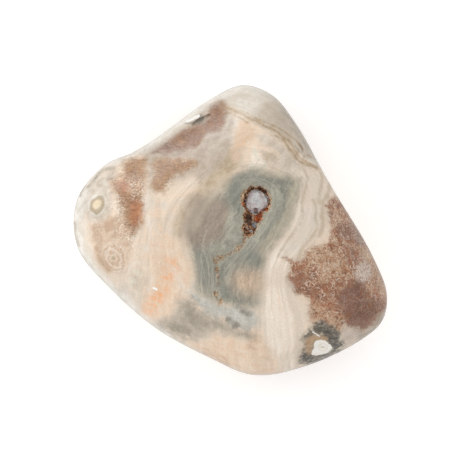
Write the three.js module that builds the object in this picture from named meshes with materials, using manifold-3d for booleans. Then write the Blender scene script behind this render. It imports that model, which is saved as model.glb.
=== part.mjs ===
// A tumbled ocean jasper: one polished pebble whose upper face is broken by a small vug,
// by the fine pits of the healed seam that runs down from it, and by a shallow chip.
// Millimetres, +Z up. The pebble lies on its flat underside, and the origin is the bottom
// centre of its bounding box.
import * as THREE from 'three';
import { mergeVertices } from 'three/addons/utils/BufferGeometryUtils.js';
import Module from 'manifold-3d';

// The outline at the widest level, seen from above, anticlockwise from the right-hand side.
const OUTLINE = [
  [19.6, -7.9], [17.9, -3.3], [12.6, 5.7], [8.3, 13.3], [5.4, 16.8], [1.6, 18.1],
  [-2.6, 16.2], [-6.9, 13.1], [-9.6, 11.2], [-12.1, 9.7], [-15.6, 8.1], [-19.1, 3.6],
  [-18.9, -2.3], [-14.8, -7.4], [-8.7, -12.6], [-2.6, -15.9], [3.0, -18.1], [9.6, -17.0],
  [16.5, -13.7], [19.1, -11.2],
];
const CROWN_HEIGHT = 10.4;      // widest level to the top of the pebble
const BASE_DEPTH = 9.2;         // widest level to the bottom, before the rest is flattened
const REST_CUT = 0.45;          // taken off the bottom by the flat it lies on
const CROWN_SHIFT = [1.4, -1.2]; // the crown stands right of and below the middle

// The shoulder between face and side is a superellipse: a power near 2 is round, 3 is boxy.
// The upper one swings about its mean round the pebble, and is boxiest at one bearing.
const SHOULDER = { mean: 2.55, swing: 0.3, boxiest: -25 };
const UNDERSIDE_SHOULDER = 2.4;

// Faint flats that tumbling leaves: degrees round the pebble, tilt from straight up, how deep
// each is worn into the round form, and how softly it blends in.
const FLATS = [
  { bearing: -40, tilt: 6, depth: 0.7, soft: 0.8 },
  { bearing: 172, tilt: 36, depth: 0.9, soft: 1.4 },
  { bearing: 122, tilt: 44, depth: 1.4, soft: 1.6 },
  { bearing: 228, tilt: 50, depth: 0.7, soft: 1.2 },
  { bearing: 28, tilt: 60, depth: 0.8, soft: 1.0 },
  { bearing: -66, tilt: 62, depth: 0.8, soft: 1.2 },
  { bearing: 70, tilt: 132, depth: 0.9, soft: 1.4 },
  { bearing: 195, tilt: 140, depth: 0.8, soft: 1.6 },
  { bearing: -50, tilt: 130, depth: 0.9, soft: 1.4 },
];

// The vug is a run of merged, lumpy bubbles. Each has its centre seen from above, its radius,
// how far the centre lies below the polished face, and the share of its radius in lumps.
const VUG = [
  { at: [3.3, 3.5], radius: 1.95, sink: 0.9, lumps: 0.06 },
  { at: [2.85, 1.6], radius: 1.35, sink: 0.65, lumps: 0.08 },
  { at: [2.45, 0.2], radius: 1.0, sink: 0.5, lumps: 0.1 },
];
const SEAM_PITS = [
  { at: [2.0, -0.95], radius: 0.55, sink: 0.1, lumps: 0.15 },
  { at: [1.2, -2.1], radius: 0.4, sink: 0.05, lumps: 0.15 },
  { at: [-0.8, -3.4], radius: 0.4, sink: 0.05, lumps: 0.15 },
  { at: [-1.55, -3.8], radius: 0.6, sink: 0.1, lumps: 0.15 },
  { at: [-1.5, -4.9], radius: 0.4, sink: 0.05, lumps: 0.15 },
  { at: [-1.6, -7.7], radius: 0.35, sink: 0.05, lumps: 0.15 },
  { at: [-1.0, -8.8], radius: 0.5, sink: 0.1, lumps: 0.15 },
];
// A shallow chip on the upper left flank, longer along the flank than across it.
const CHIP = { at: [-3.5, 13.6], radius: 0.6, sink: 0.05, lumps: 0.1, stretch: 2.2, turn: 28 };
const LUMP_WAVES = [4, 5, 4]; // radians of wave along X, Y and Z in a bubble's radius

// The crystal crust that lines the vug: a floor, a rounded mound that nearly fills the round
// end, and quartz points that stand round the wall.
const CRUST_GAP = 0.25;
const FLOOR_DROP = 0.35;    // floor of a bubble below its centre, as a share of its radius
const TOP_BELOW_RIM = 0.25;
const MOUND = { at: [3.25, 3.7], radius: 1.3, sink: 1.45, lumps: 0.05, rise: 0.75 };
const QUARTZ = { sides: 6, radius: 0.2, length: 1.0, prism: 0.55, root: 0.35, lean: 24 };
const FULL_SIZE_FROM = 1.4; // radius of a bubble from which its points have their full size
const POINTS_ROUND = [17, 9, 7]; // round each bubble of the vug in turn
// How far one point differs from the next in bearing, size and lean, and how fast.
const UNEVEN = {
  turn: { by: 0.2, pace: 5 }, size: { by: 0.25, pace: 3 }, lean: { by: 0.5, pace: 2 }, smaller: 0.8,
};

const OUTLINE_STEPS = 40;   // between two knots of the outline
const PEBBLE_DETAIL = 15;
const BUBBLE_DETAIL = 3;
const PIT_DETAIL = 1;
const WELD = 1e-5;          // corners nearer to each other than this are one
const ROOM = 60;            // the side of a block that cuts all above or below a level

const wasm = await Module();
wasm.setup();

// A closed mesh as a solid that can be cut and joined.
function solidOf(geometry) {
  const bare = geometry.clone();
  bare.deleteAttribute('normal');
  bare.deleteAttribute('uv');
  const merged = mergeVertices(bare, WELD);
  return new wasm.Manifold(new wasm.Mesh({
    numProp: 3,
    vertProperties: new Float32Array(merged.attributes.position.array),
    triVerts: new Uint32Array(merged.index.array),
  }));
}

function geometryOf(solid) {
  const { vertProperties, triVerts } = solid.getMesh();
  const geometry = new THREE.BufferGeometry();
  geometry.setAttribute('position', new THREE.BufferAttribute(vertProperties, 3));
  geometry.setIndex(new THREE.BufferAttribute(triVerts, 1));
  geometry.computeVertexNormals();
  return geometry;
}

const join = (solids) => solids.reduce((whole, solid) => whole.add(solid));

// The one connected body with the most volume, without the pockets closed off inside it.
function mainBody(solid) {
  return solid.decompose().sort((a, b) => b.volume() - a.volume())[0];
}

// The outline as a smooth closed curve, read as a radius for any bearing.
function planRadiusFunction() {
  const knots = OUTLINE.map(([x, y]) => new THREE.Vector3(x, y, 0));
  const curve = new THREE.CatmullRomCurve3(knots, true, 'centripetal');
  const polar = curve.getPoints(OUTLINE_STEPS * knots.length).slice(1)
    .map((p) => ({ bearing: Math.atan2(p.y, p.x), radius: Math.hypot(p.x, p.y) }))
    .sort((a, b) => a.bearing - b.bearing);
  const turn = 2 * Math.PI;
  const first = polar[0];
  const last = polar[polar.length - 1];
  const ring = [
    { ...last, bearing: last.bearing - turn }, ...polar, { ...first, bearing: first.bearing + turn },
  ];
  return (bearing) => {
    const after = Math.max(1, ring.findIndex((p) => p.bearing >= bearing));
    const [a, b] = [ring[after - 1], ring[after]];
    const share = (bearing - a.bearing) / (b.bearing - a.bearing);
    return THREE.MathUtils.lerp(a.radius, b.radius, share);
  };
}
const planRadius = planRadiusFunction();

// Moves a point of the unit sphere onto the round form of the pebble, before it has flats.
function roundForm(point) {
  const bearing = Math.atan2(point.y, point.x);
  const level = Math.asin(THREE.MathUtils.clamp(point.z, -1, 1));
  const above = point.z > 0;
  const turn = bearing - THREE.MathUtils.degToRad(SHOULDER.boxiest);
  const power = above ? SHOULDER.mean + SHOULDER.swing * Math.cos(turn) : UNDERSIDE_SHOULDER;
  const across = Math.abs(Math.cos(level));
  const up = Math.abs(Math.sin(level));
  const scale = (across ** power + up ** power) ** (-1 / power);
  const radius = planRadius(bearing) * across * scale;
  const rise = up * scale;
  point.set(radius * Math.cos(bearing), radius * Math.sin(bearing),
    above ? CROWN_HEIGHT * rise : -BASE_DEPTH * rise);
  if (above) {
    point.x += CROWN_SHIFT[0] * rise ** 2;
    point.y += CROWN_SHIFT[1] * rise ** 2;
  }
}

// Presses the points onto a flat worn to its depth, with a soft blend where the flat begins.
function pressFlat(points, { bearing, tilt, depth, soft }) {
  const lean = THREE.MathUtils.degToRad(tilt);
  const turn = THREE.MathUtils.degToRad(bearing);
  const normal = new THREE.Vector3(
    Math.sin(lean) * Math.cos(turn), Math.sin(lean) * Math.sin(turn), Math.cos(lean));
  const reach = points.reduce((most, point) => Math.max(most, point.dot(normal)), 0);
  points.forEach((point) => {
    const proud = point.dot(normal) - (reach - depth);
    if (proud <= -soft) return;
    const push = proud >= soft ? proud : (proud + soft) ** 2 / (4 * soft);
    point.addScaledVector(normal, -push);
  });
}

function pebbleGeometry() {
  const geometry = new THREE.IcosahedronGeometry(1, PEBBLE_DETAIL);
  const position = geometry.attributes.position;
  const points = Array.from({ length: position.count },
    (_, i) => new THREE.Vector3().fromBufferAttribute(position, i));
  points.forEach(roundForm);
  FLATS.forEach((flat) => pressFlat(points, flat));
  return geometry.setFromPoints(points);
}

// The height of the polished upper face over a point of the plan.
const uncut = new THREE.Mesh(pebbleGeometry(), new THREE.MeshBasicMaterial());
function faceHeight([x, y]) {
  const from = new THREE.Vector3(x, y, 2 * CROWN_HEIGHT);
  return new THREE.Raycaster(from, new THREE.Vector3(0, 0, -1)).intersectObject(uncut)[0].point.z;
}

// A lumpy bubble in the plan's place, its centre sunk below the polished face.
function bubble({ at, radius, sink, lumps, stretch = 1, turn = 0, rise = radius }, detail, shrink = 0) {
  const geometry = new THREE.IcosahedronGeometry(1, detail);
  const position = geometry.attributes.position;
  const p = new THREE.Vector3();
  for (let i = 0; i < position.count; i += 1) {
    p.fromBufferAttribute(position, i);
    const wave = Math.sin(LUMP_WAVES[0] * p.x + at[0])
      + Math.sin(LUMP_WAVES[1] * p.y + at[1])
      + Math.cos(LUMP_WAVES[2] * p.z + radius);
    p.multiplyScalar(radius * (1 + (lumps * wave) / 2) - shrink);
    position.setXYZ(i, p.x, p.y, p.z);
  }
  return solidOf(geometry
    .scale(stretch, 1, rise / radius)
    .rotateZ(THREE.MathUtils.degToRad(turn))
    .translate(at[0], at[1], faceHeight(at) - sink));
}

function slabAbove(height) {
  return solidOf(new THREE.BoxGeometry(ROOM, ROOM, ROOM).translate(0, 0, height + ROOM / 2));
}

function slabBelow(height) {
  return solidOf(new THREE.BoxGeometry(ROOM, ROOM, ROOM).translate(0, 0, height - ROOM / 2));
}

function stoneSolid() {
  const holes = [
    ...VUG.map((hole) => bubble(hole, BUBBLE_DETAIL)),
    ...[...SEAM_PITS, CHIP].map((hole) => bubble(hole, PIT_DETAIL)),
  ];
  return solidOf(uncut.geometry).subtract(slabBelow(REST_CUT - BASE_DEPTH)).subtract(join(holes));
}

// A six-sided quartz point that stands on the origin along +Z, with its root below it.
function quartzPoint(size) {
  const { sides, radius, length, prism, root } = QUARTZ;
  const profile = [[0, -root], [radius, -root], [radius, prism * length], [0, length]];
  return new THREE.LatheGeometry(
    profile.map(([x, y]) => new THREE.Vector2(x * size, y * size)), sides).rotateX(Math.PI / 2);
}

const floorOf = ({ at, radius, sink }) => faceHeight(at) - sink - FLOOR_DROP * radius;

// Points stand on the floor round the wall of a bubble, and lean in over it.
function pointsRound(hole, count) {
  const { at, radius } = hole;
  const ring = (radius - CRUST_GAP) * Math.sqrt(1 - FLOOR_DROP ** 2) - QUARTZ.radius;
  return Array.from({ length: count }, (_, i) => {
    const turn = (2 * Math.PI * i) / count + UNEVEN.turn.by * Math.sin(UNEVEN.turn.pace * i);
    const size = (UNEVEN.smaller + UNEVEN.size.by * Math.cos(UNEVEN.size.pace * i))
      * Math.min(1, radius / FULL_SIZE_FROM);
    const lean = THREE.MathUtils.degToRad(
      QUARTZ.lean * (1 + UNEVEN.lean.by * Math.sin(UNEVEN.lean.pace * i)));
    return solidOf(quartzPoint(size)
      .rotateY(-lean)
      .rotateZ(turn)
      .translate(at[0] + ring * Math.cos(turn), at[1] + ring * Math.sin(turn), floorOf(hole)));
  });
}

function crustSolid() {
  const linings = VUG.map((hole) => bubble(hole, BUBBLE_DETAIL, CRUST_GAP));
  const fills = linings.map((lining, i) => lining.subtract(slabAbove(floorOf(VUG[i]))));
  const points = VUG.flatMap((hole, i) => pointsRound(hole, POINTS_ROUND[i]));
  const rim = Math.min(...VUG.map(({ at }) => faceHeight(at)));
  return mainBody(join([...fills, bubble(MOUND, BUBBLE_DETAIL), ...points])
    .intersect(join(linings))
    .subtract(slabAbove(rim - TOP_BELOW_RIM)));
}

const stone = new THREE.Mesh(
  geometryOf(stoneSolid()),
  new THREE.MeshStandardMaterial({ color: '#cdbda8', roughness: 0.22, metalness: 0 }));
stone.name = 'stone';

const crust = new THREE.Mesh(
  geometryOf(crustSolid()),
  new THREE.MeshStandardMaterial({ color: '#b9a7a2', roughness: 0.35, metalness: 0 }));
crust.name = 'vug_crust';

const pebble = new THREE.Group();
pebble.add(stone, crust);
const bounds = new THREE.Box3().setFromObject(stone);
pebble.position.set(
  -(bounds.min.x + bounds.max.x) / 2, -(bounds.min.y + bounds.max.y) / 2, -bounds.min.z);

export default pebble;
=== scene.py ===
import math

import bmesh
import bpy
import numpy as np
from mathutils import Matrix, Vector, noise
from mathutils.bvhtree import BVHTree


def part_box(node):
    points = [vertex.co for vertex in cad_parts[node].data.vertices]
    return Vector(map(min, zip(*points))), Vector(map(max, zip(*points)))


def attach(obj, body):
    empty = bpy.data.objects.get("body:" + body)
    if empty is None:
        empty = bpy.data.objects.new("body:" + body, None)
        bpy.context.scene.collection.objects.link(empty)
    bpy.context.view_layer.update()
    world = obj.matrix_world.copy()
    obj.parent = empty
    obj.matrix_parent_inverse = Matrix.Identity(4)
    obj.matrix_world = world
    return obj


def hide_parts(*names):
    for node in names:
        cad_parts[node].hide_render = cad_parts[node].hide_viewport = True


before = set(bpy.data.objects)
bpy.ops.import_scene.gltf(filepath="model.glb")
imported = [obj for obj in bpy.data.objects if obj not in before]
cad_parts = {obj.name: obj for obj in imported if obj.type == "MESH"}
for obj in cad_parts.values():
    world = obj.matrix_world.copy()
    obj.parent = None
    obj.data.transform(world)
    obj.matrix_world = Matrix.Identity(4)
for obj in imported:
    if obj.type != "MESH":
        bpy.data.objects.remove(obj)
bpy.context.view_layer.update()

# A tumbled pebble of ocean jasper that lies on a pale floor, seen from straight above. The pebble
# is one dense mesh of the same form as its solid. Its markings are drawn as outlines and lines on
# the plan, which become distance fields on the mesh, and the material turns those into colour.

# Sizes are in millimetres, and the meshes and the stage are made in metres.
MM = 0.001

# The form of the pebble, as its solid has it.
OUTLINE = [
    (19.6, -7.9), (17.9, -3.3), (12.6, 5.7), (8.3, 13.3), (5.4, 16.8), (1.6, 18.1),
    (-2.6, 16.2), (-6.9, 13.1), (-9.6, 11.2), (-12.1, 9.7), (-15.6, 8.1), (-19.1, 3.6),
    (-18.9, -2.3), (-14.8, -7.4), (-8.7, -12.6), (-2.6, -15.9), (3.0, -18.1), (9.6, -17.0),
    (16.5, -13.7), (19.1, -11.2),
]
CROWN_HEIGHT = 10.4   # above the widest level
BASE_DEPTH = 9.2      # below it
REST_CUT = 0.45       # how much of the underside the flat it rests on takes off
REST_SOFT = 0.12
CROWN_SHIFT = (1.4, -1.2)
SHOULDER = {"mean": 2.55, "swing": 0.3, "boxiest": -25}   # the curve's power, by bearing
UNDERSIDE_SHOULDER = 2.4

# Each flat: the bearing and tilt of its normal in degrees, its depth and the softness of its edge.
FLATS = [
    (-40, 6, 0.7, 0.8), (172, 36, 0.9, 1.4), (122, 44, 1.4, 1.6), (228, 50, 0.7, 1.2),
    (28, 60, 0.8, 1.0), (-66, 62, 0.8, 1.2), (70, 132, 0.9, 1.4), (195, 140, 0.8, 1.6),
    (-50, 130, 0.9, 1.4),
]

# The hollows, as the solid has them: lumpy bubbles with their centres under the polished face.
VUG = [
    {"at": (3.3, 3.5), "radius": 1.95, "sink": 0.9, "lumps": 0.06},
    {"at": (2.85, 1.6), "radius": 1.35, "sink": 0.65, "lumps": 0.08},
    {"at": (2.45, 0.2), "radius": 1.0, "sink": 0.5, "lumps": 0.1},
]
CHIP = {"at": (-3.5, 13.6), "radius": 0.6, "sink": 0.05, "lumps": 0.1, "stretch": 2.2, "turn": 28}
LUMP_WAVES = (4, 5, 4)
CRUST_GAP = 0.25

# The pits of the healed seam: where each is and its radius. Here each becomes a few ragged grains.
SEAM_PITS = [
    ((2.0, -0.95), 0.55), ((1.2, -2.1), 0.4), ((-0.8, -3.4), 0.4), ((-1.55, -3.8), 0.6),
    ((-1.5, -4.9), 0.4), ((-1.6, -7.7), 0.35), ((-1.0, -8.8), 0.5),
]

# The plan that the markings are drawn on is the photograph's frame: pixels, y downwards.
PIXELS_PER_MM = 8
FRAME_PIXELS = 460
PLAN_MIDDLE = (230, 230)
VIEW_HEIGHT = 399   # camera above the widest level
TWIST = 75          # degrees that the markings turn from the widest level to the underside

SEEDS = {"grains": 5, "vug": 7, "seam": 11}
TINY = 1e-9


def through(points, closed=False, steps=6):
    """A smooth line through given points: a centripetal Catmull-Rom curve."""
    knots = np.array(points, float)
    if closed:
        around = np.vstack([knots[-1], knots, knots[0], knots[1]])
    else:
        around = np.vstack([2 * knots[0] - knots[1], knots, 2 * knots[-1] - knots[-2]])
    before, start, end, after = around[:-3], around[1:-2], around[2:-1], around[3:]
    gap = [np.sqrt(np.linalg.norm(b - a, axis=1))[:, None]
           for a, b in ((before, start), (start, end), (end, after))]
    leave = gap[1] * ((start - before) / gap[0] - (end - before) / (gap[0] + gap[1])
                      + (end - start) / gap[1])
    arrive = gap[1] * ((end - start) / gap[1] - (after - start) / (gap[1] + gap[2])
                       + (after - end) / gap[2])
    line = []
    for t in np.arange(steps) / steps:
        line.append((2 * t**3 - 3 * t**2 + 1) * start + (t**3 - 2 * t**2 + t) * leave
                    + (3 * t**2 - 2 * t**3) * end + (t**3 - t**2) * arrive)
    line = np.stack(line, axis=1).reshape(-1, knots.shape[1])
    return line if closed else np.vstack([line, knots[-1]])


# Outlines of the areas of each marking, on the plan.
AREAS = {
    "heart": [
        [(240, 173), (252, 170), (264, 172), (276, 175), (289, 177), (298, 182), (298, 192), (294, 204),
         (290, 217), (283, 231), (273, 243), (264, 255), (261, 268), (259, 282), (258, 296), (255, 305),
         (244, 307), (231, 305), (218, 302), (206, 297), (198, 288), (198, 274), (196, 262), (192, 250),
         (190, 238), (194, 228), (202, 215), (211, 203), (221, 191), (231, 180)],
    ],
    "heart_brown": [
        [(196, 196), (206, 194), (216, 196), (226, 202), (230, 214), (228, 228), (222, 238), (213, 242),
         (203, 246), (193, 246), (184, 236), (186, 220), (190, 206)],
    ],
    "heart_green": [
        [(228, 182), (238, 176), (248, 178), (240, 186), (238, 200), (240, 214), (232, 206), (226, 194)],
        [(276, 184), (292, 182), (294, 194), (288, 208), (282, 222), (274, 228), (270, 222), (277, 206)],
        [(196, 252), (206, 256), (210, 270), (208, 286), (200, 282), (196, 268)],
        [(243, 252), (254, 248), (262, 254), (262, 268), (252, 268), (244, 262)],
    ],
    "heart_pale": [
        [(231, 206), (237, 212), (240, 224), (239, 237), (233, 244), (227, 241), (224, 230), (228, 216)],
        [(209, 248), (218, 243), (228, 245), (230, 250), (220, 256), (212, 256)],
        [(258, 226), (268, 214), (274, 214), (270, 226), (262, 236), (252, 244), (250, 240)],
        [(271, 188), (279, 188), (280, 200), (275, 212), (269, 212), (270, 200)],
    ],
    "heart_dark": [
        [(232, 182), (240, 180), (241, 190), (239, 202), (241, 210), (237, 212), (232, 200)],
        [(218, 284), (230, 286), (240, 294), (250, 298), (244, 303), (230, 300), (220, 296)],
        [(246, 256), (256, 255), (262, 262), (256, 268), (248, 264)],
    ],
    "peach_spot": [
        [(233, 277), (241, 271), (252, 270), (260, 275), (260, 289), (252, 295), (241, 293), (234, 286)],
    ],
    "quartz": [
        [(190, 290), (197, 294), (206, 299), (217, 303), (229, 306), (241, 308), (250, 310), (256, 315),
         (256, 324), (251, 331), (243, 330), (235, 325), (225, 319), (214, 318), (205, 313), (199, 306),
         (194, 299), (191, 292)],
    ],
    "band_deep": [
        [(190, 304), (198, 311), (208, 319), (204, 327), (193, 325), (186, 314)],
        [(168, 327), (180, 325), (190, 330), (188, 335), (176, 333)],
    ],
    "smudge": [
        [(225, 317), (230, 317), (235, 321), (240, 327), (236, 328), (230, 325), (225, 321)],
        [(240, 308), (247, 309), (253, 313), (251, 317), (245, 315), (240, 312)],
        [(233, 304), (239, 305), (242, 309), (236, 308)],
    ],
    "dark_band": [
        [(178, 300), (186, 297), (194, 302), (202, 312), (214, 319), (226, 322), (237, 328), (249, 331),
         (257, 335), (252, 340), (240, 337), (228, 334), (215, 332), (203, 336), (194, 339), (183, 338),
         (170, 332), (157, 324), (162, 320), (170, 316), (175, 309)],
    ],
    "sand": [
        [(212, 104), (222, 92), (240, 82), (265, 84), (287, 104), (306, 136), (322, 164), (316, 166),
         (305, 158), (293, 147), (285, 137), (262, 126), (240, 111), (226, 108)],
    ],
    "sand_dark": [
        [(266, 102), (280, 101), (298, 128), (316, 160), (308, 158), (296, 142), (284, 135), (270, 128),
         (256, 119), (258, 109)],
    ],
    "sand_pale": [
        [(236, 103), (244, 98), (256, 97), (263, 103), (258, 111), (247, 110)],
        [(248, 86), (262, 86), (272, 92), (264, 96), (250, 94)],
    ],
    "sand_margin": [
        [(241, 158), (234, 171), (221, 182), (207, 193), (194, 205), (186, 221), (179, 236), (176, 226),
         (182, 208), (194, 192), (208, 178), (222, 164), (232, 150)],
    ],
    "cream_top": [
        [(254, 146), (257, 151), (261, 157), (265, 162), (267, 167), (262, 169), (255, 170), (249, 169),
         (250, 161), (252, 153)],
    ],
    "cream_curd": [
        [(258, 134), (268, 136), (280, 142), (290, 152), (300, 162), (312, 172), (308, 180), (298, 178),
         (288, 172), (280, 164), (276, 152), (266, 146), (258, 142)],
    ],
    "tan_smudge": [
        [(262, 150), (268, 153), (274, 151), (278, 156), (275, 161), (270, 158), (266, 160), (262, 155)],
        [(287, 352), (294, 347), (300, 354), (297, 366), (288, 370), (284, 362)],
    ],
    "peach_streak": [
        [(239, 120), (246, 120), (253, 127), (256, 134), (252, 141), (246, 146), (242, 154), (239, 161),
         (233, 161), (230, 156), (233, 146), (235, 137), (237, 128)],
    ],
    "olive": [
        [(284, 106), (300, 130), (312, 152), (303, 144), (292, 126), (282, 114)],
        [(364, 322), (376, 314), (386, 298), (392, 296), (388, 322), (374, 340), (360, 342), (356, 332)],
        [(320, 204), (326, 202), (328, 212), (326, 224), (321, 226), (318, 214)],
    ],
    "rust": [
        [(212, 105), (220, 100), (226, 105), (225, 118), (221, 129), (215, 128), (209, 129), (210, 117)],
        [(206, 128), (197, 127), (187, 129), (178, 134), (170, 141), (178, 146), (188, 147), (197, 144),
         (202, 137)],
        [(126, 168), (137, 166), (143, 170), (143, 176), (139, 182), (132, 184), (127, 178)],
        [(124, 190), (132, 194), (139, 192), (139, 202), (139, 212), (138, 222), (134, 232), (130, 231),
         (126, 221), (124, 208)],
        [(156, 163), (168, 161), (182, 162), (190, 165), (180, 169), (170, 174), (164, 182), (157, 180),
         (157, 171)],
    ],
    "rust_deep": [
        [(131, 203), (136, 201), (142, 202), (142, 212), (139, 222), (134, 224), (131, 217)],
        [(118, 184), (124, 181), (128, 188), (124, 194)],
    ],
    "crest_dark": [
        [(214, 104), (222, 104), (224, 114), (221, 126), (214, 128), (210, 122), (213, 114)],
        [(184, 131), (196, 129), (202, 133), (198, 144), (188, 144), (180, 138)],
    ],
    "haze": [
        [(198, 152), (212, 144), (228, 138), (235, 150), (228, 166), (214, 176), (204, 182), (196, 178),
         (192, 168), (192, 158)],
        [(226, 98), (232, 116), (232, 140), (222, 152), (210, 164), (200, 174), (188, 178), (172, 182),
         (158, 187), (148, 190), (146, 170), (140, 156), (120, 158), (112, 176), (108, 170), (130, 150),
         (158, 138), (184, 120), (206, 102)],
    ],
    "flank_speckle": [
        [(162, 153), (176, 150), (190, 148), (202, 143), (212, 131), (222, 126), (232, 120), (231, 128),
         (222, 134), (212, 144), (204, 154), (192, 158), (176, 157), (164, 158)],
    ],
    "ochre": [
        [(152, 163), (160, 159), (170, 158), (180, 159), (190, 159), (198, 163), (194, 168), (184, 172),
         (175, 175), (169, 183), (163, 191), (155, 190), (151, 182), (155, 174)],
        [(122, 158), (134, 155), (146, 159), (147, 168), (148, 179), (144, 192), (142, 204), (141, 222),
         (135, 234), (129, 236), (124, 226), (121, 208), (117, 195), (111, 188), (111, 180), (118, 177),
         (123, 172)],
    ],
    "mauve": [
        [(209, 106), (215, 102), (222, 100), (226, 107), (226, 117), (223, 127), (217, 132), (210, 133),
         (205, 135), (200, 140), (195, 146), (186, 150), (175, 152), (163, 153), (151, 153), (157, 148),
         (168, 140), (178, 133), (188, 129), (198, 126), (205, 123), (209, 119), (209, 112)],
    ],
    "pink": [
        [(90, 226), (98, 223), (110, 217), (120, 216), (127, 226), (131, 240), (130, 254), (122, 264),
         (112, 270), (105, 267), (97, 252), (92, 238)],
    ],
    "grey_left": [
        [(84, 196), (92, 184), (102, 176), (117, 172), (112, 184), (111, 198), (110, 212), (100, 220),
         (88, 218), (82, 208)],
    ],
    "squiggles": [
        [(111, 199), (118, 196), (124, 203), (125, 214), (119, 221), (111, 213)],
        [(128, 180), (136, 176), (144, 182), (143, 196), (134, 199), (128, 192)],
        [(117, 219), (126, 222), (134, 236), (140, 252), (139, 266), (132, 258), (124, 244), (116, 232)],
        [(92, 220), (102, 222), (100, 230), (94, 228)],
        [(106, 244), (116, 242), (124, 248), (120, 254), (108, 250)],
    ],
    "warm": [
        [(148, 250), (160, 236), (172, 236), (184, 252), (190, 272), (188, 290), (178, 302), (166, 320),
         (152, 322), (142, 306), (148, 288), (152, 268)],
        [(188, 346), (204, 337), (222, 334), (244, 339), (262, 336), (276, 342), (290, 340), (298, 360),
         (290, 376), (262, 380), (230, 372), (196, 358)],
    ],
    "tan_oval": [
        [(134, 268), (142, 270), (147, 279), (144, 290), (137, 294), (131, 288), (129, 277)],
    ],
    "tan_low": [
        [(250, 333), (259, 333), (261, 341), (257, 349), (251, 353), (247, 345)],
        [(206, 350), (214, 353), (224, 357), (234, 363), (228, 366), (214, 361), (203, 355)],
    ],
    "banded": [
        [(284, 176), (300, 168), (318, 172), (328, 190), (328, 212), (324, 230), (312, 245), (298, 256),
         (291, 268), (288, 283), (297, 296), (304, 312), (306, 328), (300, 350), (296, 370), (284, 372),
         (275, 358), (267, 342), (262, 322), (262, 300), (262, 268), (275, 244), (288, 224), (295, 204),
         (297, 186)],
    ],
    "band_grey": [
        [(298, 180), (312, 176), (324, 188), (326, 204), (321, 224), (310, 240), (298, 249), (286, 256),
         (280, 250), (292, 234), (300, 216), (303, 198)],
    ],
    "bright_low": [
        [(266, 312), (274, 308), (284, 312), (290, 322), (291, 336), (286, 348), (276, 350), (269, 342),
         (265, 328)],
    ],
    "moss": [
        [(326, 205), (328, 201), (338, 196), (350, 205), (380, 240), (396, 284), (391, 298), (386, 308),
         (379, 317), (371, 326), (361, 331), (350, 328), (345, 323), (341, 332), (334, 330), (324, 322),
         (315, 324), (309, 316), (310, 308), (309, 300), (303, 295), (297, 294), (292, 288), (289, 280),
         (291, 270), (290, 262), (285, 257), (296, 262), (303, 260), (307, 252), (313, 246), (322, 244),
         (330, 238), (331, 225), (330, 214)],
    ],
    "moss_red": [
        [(286, 258), (297, 263), (305, 263), (308, 272), (308, 284), (303, 293), (298, 292), (293, 284),
         (292, 276), (291, 268)],
        [(310, 298), (322, 297), (334, 300), (340, 306), (336, 312), (324, 306), (312, 306)],
        [(369, 280), (376, 279), (379, 286), (374, 289), (369, 286)],
        [(351, 262), (357, 266), (358, 276), (353, 280), (348, 274)],
        [(372, 274), (380, 276), (386, 290), (388, 300), (380, 302), (374, 292)],
    ],
    "moss_brown": [
        [(345, 248), (354, 246), (361, 250), (361, 260), (353, 264), (346, 258)],
        [(326, 204), (331, 203), (332, 215), (327, 217)],
        [(340, 222), (350, 224), (355, 236), (352, 243), (342, 238), (338, 230)],
        [(308, 270), (315, 268), (320, 276), (316, 284), (309, 280)],
        [(306, 286), (316, 282), (330, 282), (334, 292), (326, 298), (314, 298), (306, 295)],
        [(295, 285), (301, 286), (302, 295), (296, 295)],
    ],
    "moss_dark": [
        [(338, 292), (345, 286), (352, 281), (360, 280), (366, 287), (370, 297), (378, 299), (384, 306),
         (379, 317), (369, 327), (356, 330), (346, 324), (342, 313), (336, 302)],
    ],
    "moss_deep": [
        [(350, 284), (360, 282), (366, 290), (364, 298), (354, 298), (346, 296)],
        [(352, 300), (364, 304), (372, 310), (364, 318), (352, 318), (347, 310)],
        [(342, 226), (349, 227), (352, 236), (346, 239), (341, 233)],
        [(296, 272), (303, 272), (305, 282), (300, 288), (296, 282)],
    ],
    "moss_pale": [
        [(308, 250), (320, 246), (330, 250), (334, 262), (328, 274), (316, 270), (308, 262)],
        [(334, 248), (342, 250), (344, 262), (340, 280), (334, 276), (333, 262)],
        [(310, 308), (324, 309), (336, 314), (341, 326), (334, 328), (324, 320), (310, 322)],
    ],
    "moss_spot": [
        [(356, 267), (363, 263), (370, 266), (372, 274), (367, 280), (359, 281), (355, 275)],
        [(341, 330), (350, 327), (359, 327), (358, 334), (350, 341), (342, 339)],
        [(287, 280), (292, 282), (296, 287), (292, 289), (287, 285)],
    ],
    "mauve_edge": [
        [(350, 220), (357, 228), (366, 242), (364, 247), (357, 245), (352, 234)],
    ],
    "edge_tan": [
        [(360, 250), (368, 249), (376, 259), (379, 268), (372, 265), (362, 260)],
        [(374, 268), (380, 268), (386, 282), (388, 296), (382, 294), (377, 282)],
    ],
    "halo": [
        [(304, 333), (310, 328), (316, 323), (322, 321), (329, 326), (336, 329), (341, 337), (344, 346),
         (339, 353), (326, 358), (312, 363), (299, 362), (302, 352), (303, 342)],
    ],
    "halo_deep": [
        [(319, 323), (325, 322), (331, 327), (338, 334), (340, 344), (336, 350), (332, 344), (326, 338),
         (321, 333)],
        [(304, 354), (314, 356), (324, 356), (332, 352), (330, 358), (316, 362), (302, 360)],
    ],
    "tan_crescent": [
        [(308, 338), (314, 335), (322, 336), (328, 340), (320, 341), (314, 343), (312, 348), (311, 354),
         (307, 352), (305, 344)],
    ],
    "eye": [
        [(314, 344), (316.5, 340.8), (321, 340.2), (326, 341.6), (330, 344.6), (332, 348), (328.5, 351.6),
         (324, 354), (318, 355), (312, 354.4), (312.2, 351.2), (313.8, 348)],
    ],
    # Painted shade in the chip, in the grey-green of the smudges.
    "chip_shade": [
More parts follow.
